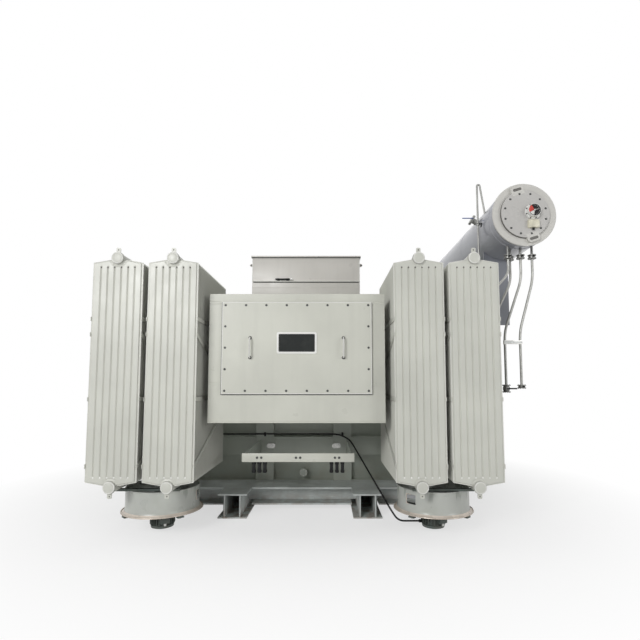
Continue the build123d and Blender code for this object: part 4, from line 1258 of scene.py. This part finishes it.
def gauge(x, y, z):
    """The oil level gauge with its marked dial."""
    spot, dial = (x, y, z), front_plane(x, y, z)
    depth = y - span("oil_gauge")[2]
    body, white, red, needle, disc, studs = shapes(6)
    r, rim = gauge_radius, gauge_flange
    housing = [(rim, 0), (rim, 0.012), (rim - 0.003, 0.015), (r, 0.016), (r, depth - 0.004),
               (r - 0.003, depth), (r - 0.005, depth), (r - 0.006, depth - 0.006)]
    body.lathe(housing, spot, front_way, 56)
    disc.lathe([(r - 0.005, depth - 0.007), (0, depth - 0.007)], spot, front_way, 56)
    studs.bolt_ring((x, y - 0.015, z), front_way, r + 0.008, 8, 0.0075)
    face = depth - 0.0065
    sector(red, dial, 0.012, r - 0.008, 120, 205, face)
    sector(white, dial, 0.012, r - 0.016, 207, 262, face)
    for mark in range(-75, 94, 21):
        sector(white, dial, r - 0.022, r - 0.014, mark, mark + 3, face, 2)
    turn = dial @ Matrix.Rotation(math.radians(15), 4, "Z")
    needle.box(-0.010, r - 0.026, -0.0015, 0.0015, face, face + 0.003, 0.0005, turn)
    needle.lathe([(0.008, face), (0.008, face + 0.004), (0, face + 0.005)], spot, front_way, 20)
    make("GaugeHousing", body, frame_paint, ["oil_gauge"])
    make("GaugeDial", disc, dial_black, ["oil_gauge"])
    make("GaugeBolts", studs, dark_bolt_metal)
    make("GaugeWhite", white, dial_white)
    make("GaugeRed", red, dial_red)
    make("GaugeNeedle", needle, dial_white)


def wiring_box():
    """The cream wiring box below the gauge, with its lid, screws and gland."""
    x0, x1, y0, y1, z0, z1 = span("gauge_terminal_box")
    box, screws, glands = shapes(3)
    box.box(x0, x1, y0 + 0.012, y1, z0, z1, 0.006)
    box.box(x0 + 0.001, x1 - 0.001, y0, y0 + 0.011, z0 + 0.001, z1 - 0.001, 0.005)
    for x in (x0 + 0.012, x1 - 0.012):
        for z in (z0 + 0.012, z1 - 0.012):
            screws.drum((x, y0, z), front_way, 0.0015, 0.004, 0.0005, 12)
    glands.drum(((x0 + x1) / 2, (y0 + y1) / 2, z0), down_way, 0.024, 0.015, 0.003, 6)
    make("GaugeWiringBox", box, cream_plastic, ["gauge_terminal_box"])
    make("WiringBoxScrews", screws, bolt_metal)
    make("WiringBoxGlands", glands, black_plastic)


def cock(shape, bolts, handles, x, y, z0, z1, lever):
    """A flanged cock with a lever of a given length."""
    height, middle = z1 - z0, (z0 + z1) / 2
    for z, way in ((z0, up_way), (z1, down_way)):
        shape.drum((x, y, z), way, 0.011, cock_radius, 0.002, 28)
    body = [(0.030, 0.010), (0.037, height * 0.35), (0.037, height * 0.65), (0.030, height - 0.010)]
    shape.lathe(body, (x, y, z0), up_way, 24)
    bolts.bolt_ring((x, y, z0), down_way, 0.036, 4, 0.006)
    bolts.bolt_ring((x, y, z1), up_way, 0.036, 4, 0.006)
    handles.drum((x, y - 0.028, middle), front_way, 0.024, 0.008, 0.001, 12)
    handles.box(x - 0.008, x + lever, y - 0.056, y - 0.050, middle - 0.008, middle + 0.008)


def small_pipes():
    """The conservator's cocks, bent pipes, end valves and their clip."""
    low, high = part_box("drop_pipes")
    y, foot, top = (low.y + high.y) / 2, low.z, high.z
    stubs, bolts, handles, pipes, ends, band, back = shapes(7)
    spots = [(x, y) for x in drop_starts] + [route[:2] for route in return_routes]
    for x, stub_y in spots:
        cock(stubs, bolts, handles, x, stub_y, top, top + cock_height, short_lever)
        under = shell_axis_z - math.sqrt(shell_radius ** 2 - (x - shell_axis_x) ** 2)
        stubs.seam((x, stub_y, top + 0.040), (x, stub_y, under + 0.004), pipe_radius, 16)
    for start, end in zip(drop_starts, drop_ends):
        route = [(start, y, top), (start, y, drop_knees[0]), (end, y, drop_knees[1]), (end, y, foot)]
        pipes.tube(route, pipe_radius, 0.10, 16)
    make("DropPipes", pipes, pipe_metal, ["drop_pipes"])
    left, right = drop_ends
    cock(ends, bolts, handles, left, y, span("drop_valves")[4], foot, long_lever)
    cock(ends, bolts, handles, right, y, foot - 0.040, foot, short_lever)
    make("EndValves", ends, cock_metal, ["drop_valves"])
    make("ConservatorCocks", stubs, cock_metal, ["conservator_valves"])
    make("CockBolts", bolts, dark_bolt_metal)
    make("CockLevers", handles, black_plastic)
    under = span("pipe_clips")[4] + 0.013 - band_half_height
    over = under + 2 * band_half_height
    band.box(left - 0.017, right + 0.017, y - 0.021, y - 0.015, under, over)
    for x in drop_ends:
        band.drum((x, y, under), up_way, over - under, 0.0185, 0.002, 20)
    make("PipeBand", band, clamp_metal)
    wall_x = span("return_pipes")[0]
    for x, start_y, knee, level in return_routes:
        route = [(x, start_y, top), (x, start_y, knee), (return_run_x, start_y, level),
                 (return_run_x, return_entry_y, level), (wall_x, return_entry_y, level)]
        back.tube(route, pipe_radius, 0.09, 16)
    make("ReturnPipes", back, pipe_metal, ["return_pipes"])


def breather():
    """The breather pipe with its bracket, and the canister below it."""
    low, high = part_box("breather_pipe")
    y, x, top = (low.y + high.y) / 2, low.x + breather_radius, high.z - breather_radius
    x0, x1, y0, y1, z0, z1 = span("breather")
    can_x, can_y, r = (x0 + x1) / 2, (y0 + y1) / 2, (x1 - x0) / 2
    pipe, bracket, can, glass = shapes(4)
    route = [(can_x, y, z1), (can_x, y, z1 + 0.160), (x, y, z1 + 0.330), (x, y, top),
             (x + 0.032, y, top), (x + 0.089, y, breather_end_level)]
    pipe.tube(route, breather_radius, 0.05, 16)
    z = clamp_level
    pipe.drum((x, y, z - 0.022), up_way, 0.044, 0.017, 0.003, 20)
    bracket.box(x - 0.015, x + 0.046, y - 0.016, y + 0.016, z - 0.006, z + 0.006)
    bracket.box(x + 0.038, x + 0.046, y - 0.022, y + 0.022, z - 0.040, z + 0.010)
    make("BreatherBracket", bracket, black_plastic)
    make("BreatherPipe", pipe, pipe_metal, ["breather_pipe"])
    neck, axis = r * 0.88, (can_x, can_y, 0)
    base = [(0, z0), (r * 0.75, z0), (r, z0 + 0.020), (r, z0 + 0.070), (neck, z0 + 0.075)]
    head = [(neck, z1 - 0.065), (r, z1 - 0.060), (r, z1 - 0.020), (r * 0.5, z1), (0, z1)]
    can.lathe(base, axis, up_way, 40)
    can.lathe(head, axis, up_way, 40)
    foot = z0 + 0.060
    for spot in spots_round((can_x, can_y, foot), up_way, r * 0.93, 4):
        can.drum(spot, up_way, z1 - 0.055 - foot, 0.004, 0.001, 10)
    glass.lathe([(r * 0.86, z0 + 0.070), (r * 0.86, z1 - 0.060)], axis, up_way, 40)
    make("BreatherCan", can, motor_paint, ["breather"])
    make("BreatherGlass", glass, window_pane)


def filler():
    """The slanting filler stub with its flange, bolts and lever."""
    angle = math.radians(filler_angle)
    out = Vector((math.cos(angle), 0, math.sin(angle)))
    centre = Vector((shell_axis_x, filler_y, shell_axis_z))
    stub, lever, bolts = shapes(3)
    stub.seam(centre + out * 0.340, centre + out * 0.404, 0.034, 24)
    for start, thickness in ((0.398, 0.012), (0.412, 0.013)):
        stub.drum(centre + out * start, out, thickness, filler_flange_radius, 0.002, 32)
    place = Matrix.Translation(centre + out * 0.418 + Vector((0, -0.064, 0.0)))
    lever.box(-0.135, 0.004, -0.010, 0.010, -0.008, 0.0, 0.003, place)
    make("FillerLever", lever, blue_plastic)
    bolts.bolt_ring(centre + out * 0.398, -out, 0.052, 6, 0.008, 0.0)
    make("FillerStub", stub, pipe_metal, ["filler_stub"])
    make("FillerBolts", bolts, bolt_metal)


def relay_pipe():
    """The round pipe to the cover with the gas relay and its window."""
    low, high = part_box("relay_pipe")
    x, z = relay_middle, relay_level
    start, end = high.x - relay_pipe_radius, low.x + relay_pipe_radius
    shape, bolts, glass = shapes(3)
    route = [(start, 0, relay_start_level), (start, 0, z), (end, 0, z), (end, 0, low.z)]
    shape.tube(route, relay_pipe_radius, 0.09, 28)
    left, right = x - relay_half_length, x + relay_half_length
    shape.box(left, right, -0.084, 0.084, z - 0.078, z + 0.070, 0.012)
    shape.drum((x, 0, z + 0.066), up_way, 0.018, 0.050, 0.004, 28)
    for flange_x in (left - 0.015, right + 0.001):
        shape.drum((flange_x, 0, z), right_way, 0.014, 0.080, 0.003, 36)
        bolts.bolt_ring((flange_x, 0, z), left_way, 0.066, 8, 0.009)
    glass.plate([rounded(-0.040, 0.040, -0.030, 0.030, 0.01)], front_plane(x, -0.083, z), 0.002)
    make("RelayPipe", shape, tank_paint, ["relay_pipe"])
    make("RelayBolts", bolts, bolt_metal)
    make("RelayGlass", glass, window_pane)


def seen_ray(tree):
    """1 for rays of the camera, of reflections and of glass, else 0."""
    path = tree.nodes.new("ShaderNodeLightPath")
    total = path.outputs["Is Camera Ray"]
    for name in ("Is Glossy Ray", "Is Transmission Ray"):
        most = tree.nodes.new("ShaderNodeMath")
        most.operation = "MAXIMUM"
        tree.links.new(total, most.inputs[0])
        tree.links.new(path.outputs[name], most.inputs[1])
        total = most.outputs[0]
    return total


def stage():
    """A pale floor that melts into the white background."""
    nodes = Nodes("StudioFloor")
    reach = nodes.tree.nodes.new("ShaderNodeVectorMath")
    reach.operation = "LENGTH"
    nodes.link(nodes.where, reach.inputs[0])
    fade = nodes.span(reach.outputs["Value"], 2.2, 5.0, 0.60, 1.0)
    clouds = nodes.span(nodes.noise(0.8, 3.0), 0.3, 0.7)
    base = nodes.mix(clouds, (0.900, 0.900, 0.900), (0.930, 0.930, 0.930))
    nodes.finish(base, nodes.span(nodes.noise(3.0), 0.3, 0.7, 0.7, 0.9))
    glow = nodes.tree.nodes.new("ShaderNodeEmission")
    glow.inputs["Color"].default_value = (1, 1, 1, 1)
    glow.inputs["Strength"].default_value = 1.0
    blend = nodes.tree.nodes.new("ShaderNodeMixShader")
    nodes.link(nodes.times(fade, seen_ray(nodes.tree)), blend.inputs["Fac"])
    nodes.link(nodes.shader.outputs["BSDF"], blend.inputs[1])
    nodes.link(glow.outputs["Emission"], blend.inputs[2])
    nodes.link(blend.outputs["Shader"], nodes.tree.nodes["Material Output"].inputs["Surface"])
    shape = Shape()
    shape.grid([[Vector((x, y, -0.001)) for x in (-40, 40)] for y in (-40, 40)])
    mesh = bpy.data.meshes.new("StudioFloor")
    shape.bm.to_mesh(mesh)
    shape.bm.free()
    mesh.materials.append(nodes.material)
    floor = bpy.data.objects.new("StudioFloor", mesh)
    bpy.context.scene.collection.objects.link(floor)


def world():
    """White behind the object, with a softer light on it."""
    made = bpy.data.worlds.new("Studio")
    bpy.context.scene.world = made
    made.use_nodes = True
    tree = made.node_tree
    sky = tree.nodes["Background"]
    sky.inputs["Color"].default_value = (1, 1, 1, 1)
    strength = tree.nodes.new("ShaderNodeMapRange")
    strength.inputs["To Min"].default_value = ambient_light
    strength.inputs["To Max"].default_value = 1.0
    tree.links.new(seen_ray(tree), strength.inputs["Value"])
    tree.links.new(strength.outputs["Result"], sky.inputs["Strength"])


def lamp(name, place, target, size, power):
    """A large soft lamp."""
    data = bpy.data.lights.new(name, "AREA")
    data.size = size
    data.energy = power
    lamp_object = bpy.data.objects.new(name, data)
    lamp_object.location = place
    lamp_object.rotation_euler = (Vector(target) - Vector(place)).to_track_quat("-Z", "Y").to_euler()
    bpy.context.scene.collection.objects.link(lamp_object)


def camera():
    """The photo's camera."""
    data = bpy.data.cameras.new("PhotoCamera")
    data.lens = camera_lens
    data.sensor_width = 36.0
    data.shift_x, data.shift_y = camera_shift
    data.clip_end = 200.0
    view = bpy.data.objects.new("PhotoCamera", data)
    view.location = camera_place
    view.rotation_euler = (math.radians(90 + camera_pitch), 0, 0)
    bpy.context.scene.collection.objects.link(view)
    bpy.context.scene.camera = view
    bpy.context.scene.view_settings.view_transform = "Standard"


dress_cad_nodes()
radiators()
header_pipes("lower")
header_pipes("upper")
fans()
tank()
tank_fittings()
weld_seams()
base_details()
cable_box()
fan_cable()
cable_rail()
top_box()
conservator()
small_pipes()
breather()
filler()
relay_pipe()
stage()
world()
lamp("KeyLamp", (-6.0, -13.0, 6.2), (0, 0, 1.6), 4.5, 860.0)
lamp("FillLamp", (9.0, -9.0, 4.0), (0, 0, 1.6), 4.0, 230.0)
lamp("TopLamp", (0.0, 0.0, 9.0), (0, 0, 2.0), 6.0, 160.0)
camera()
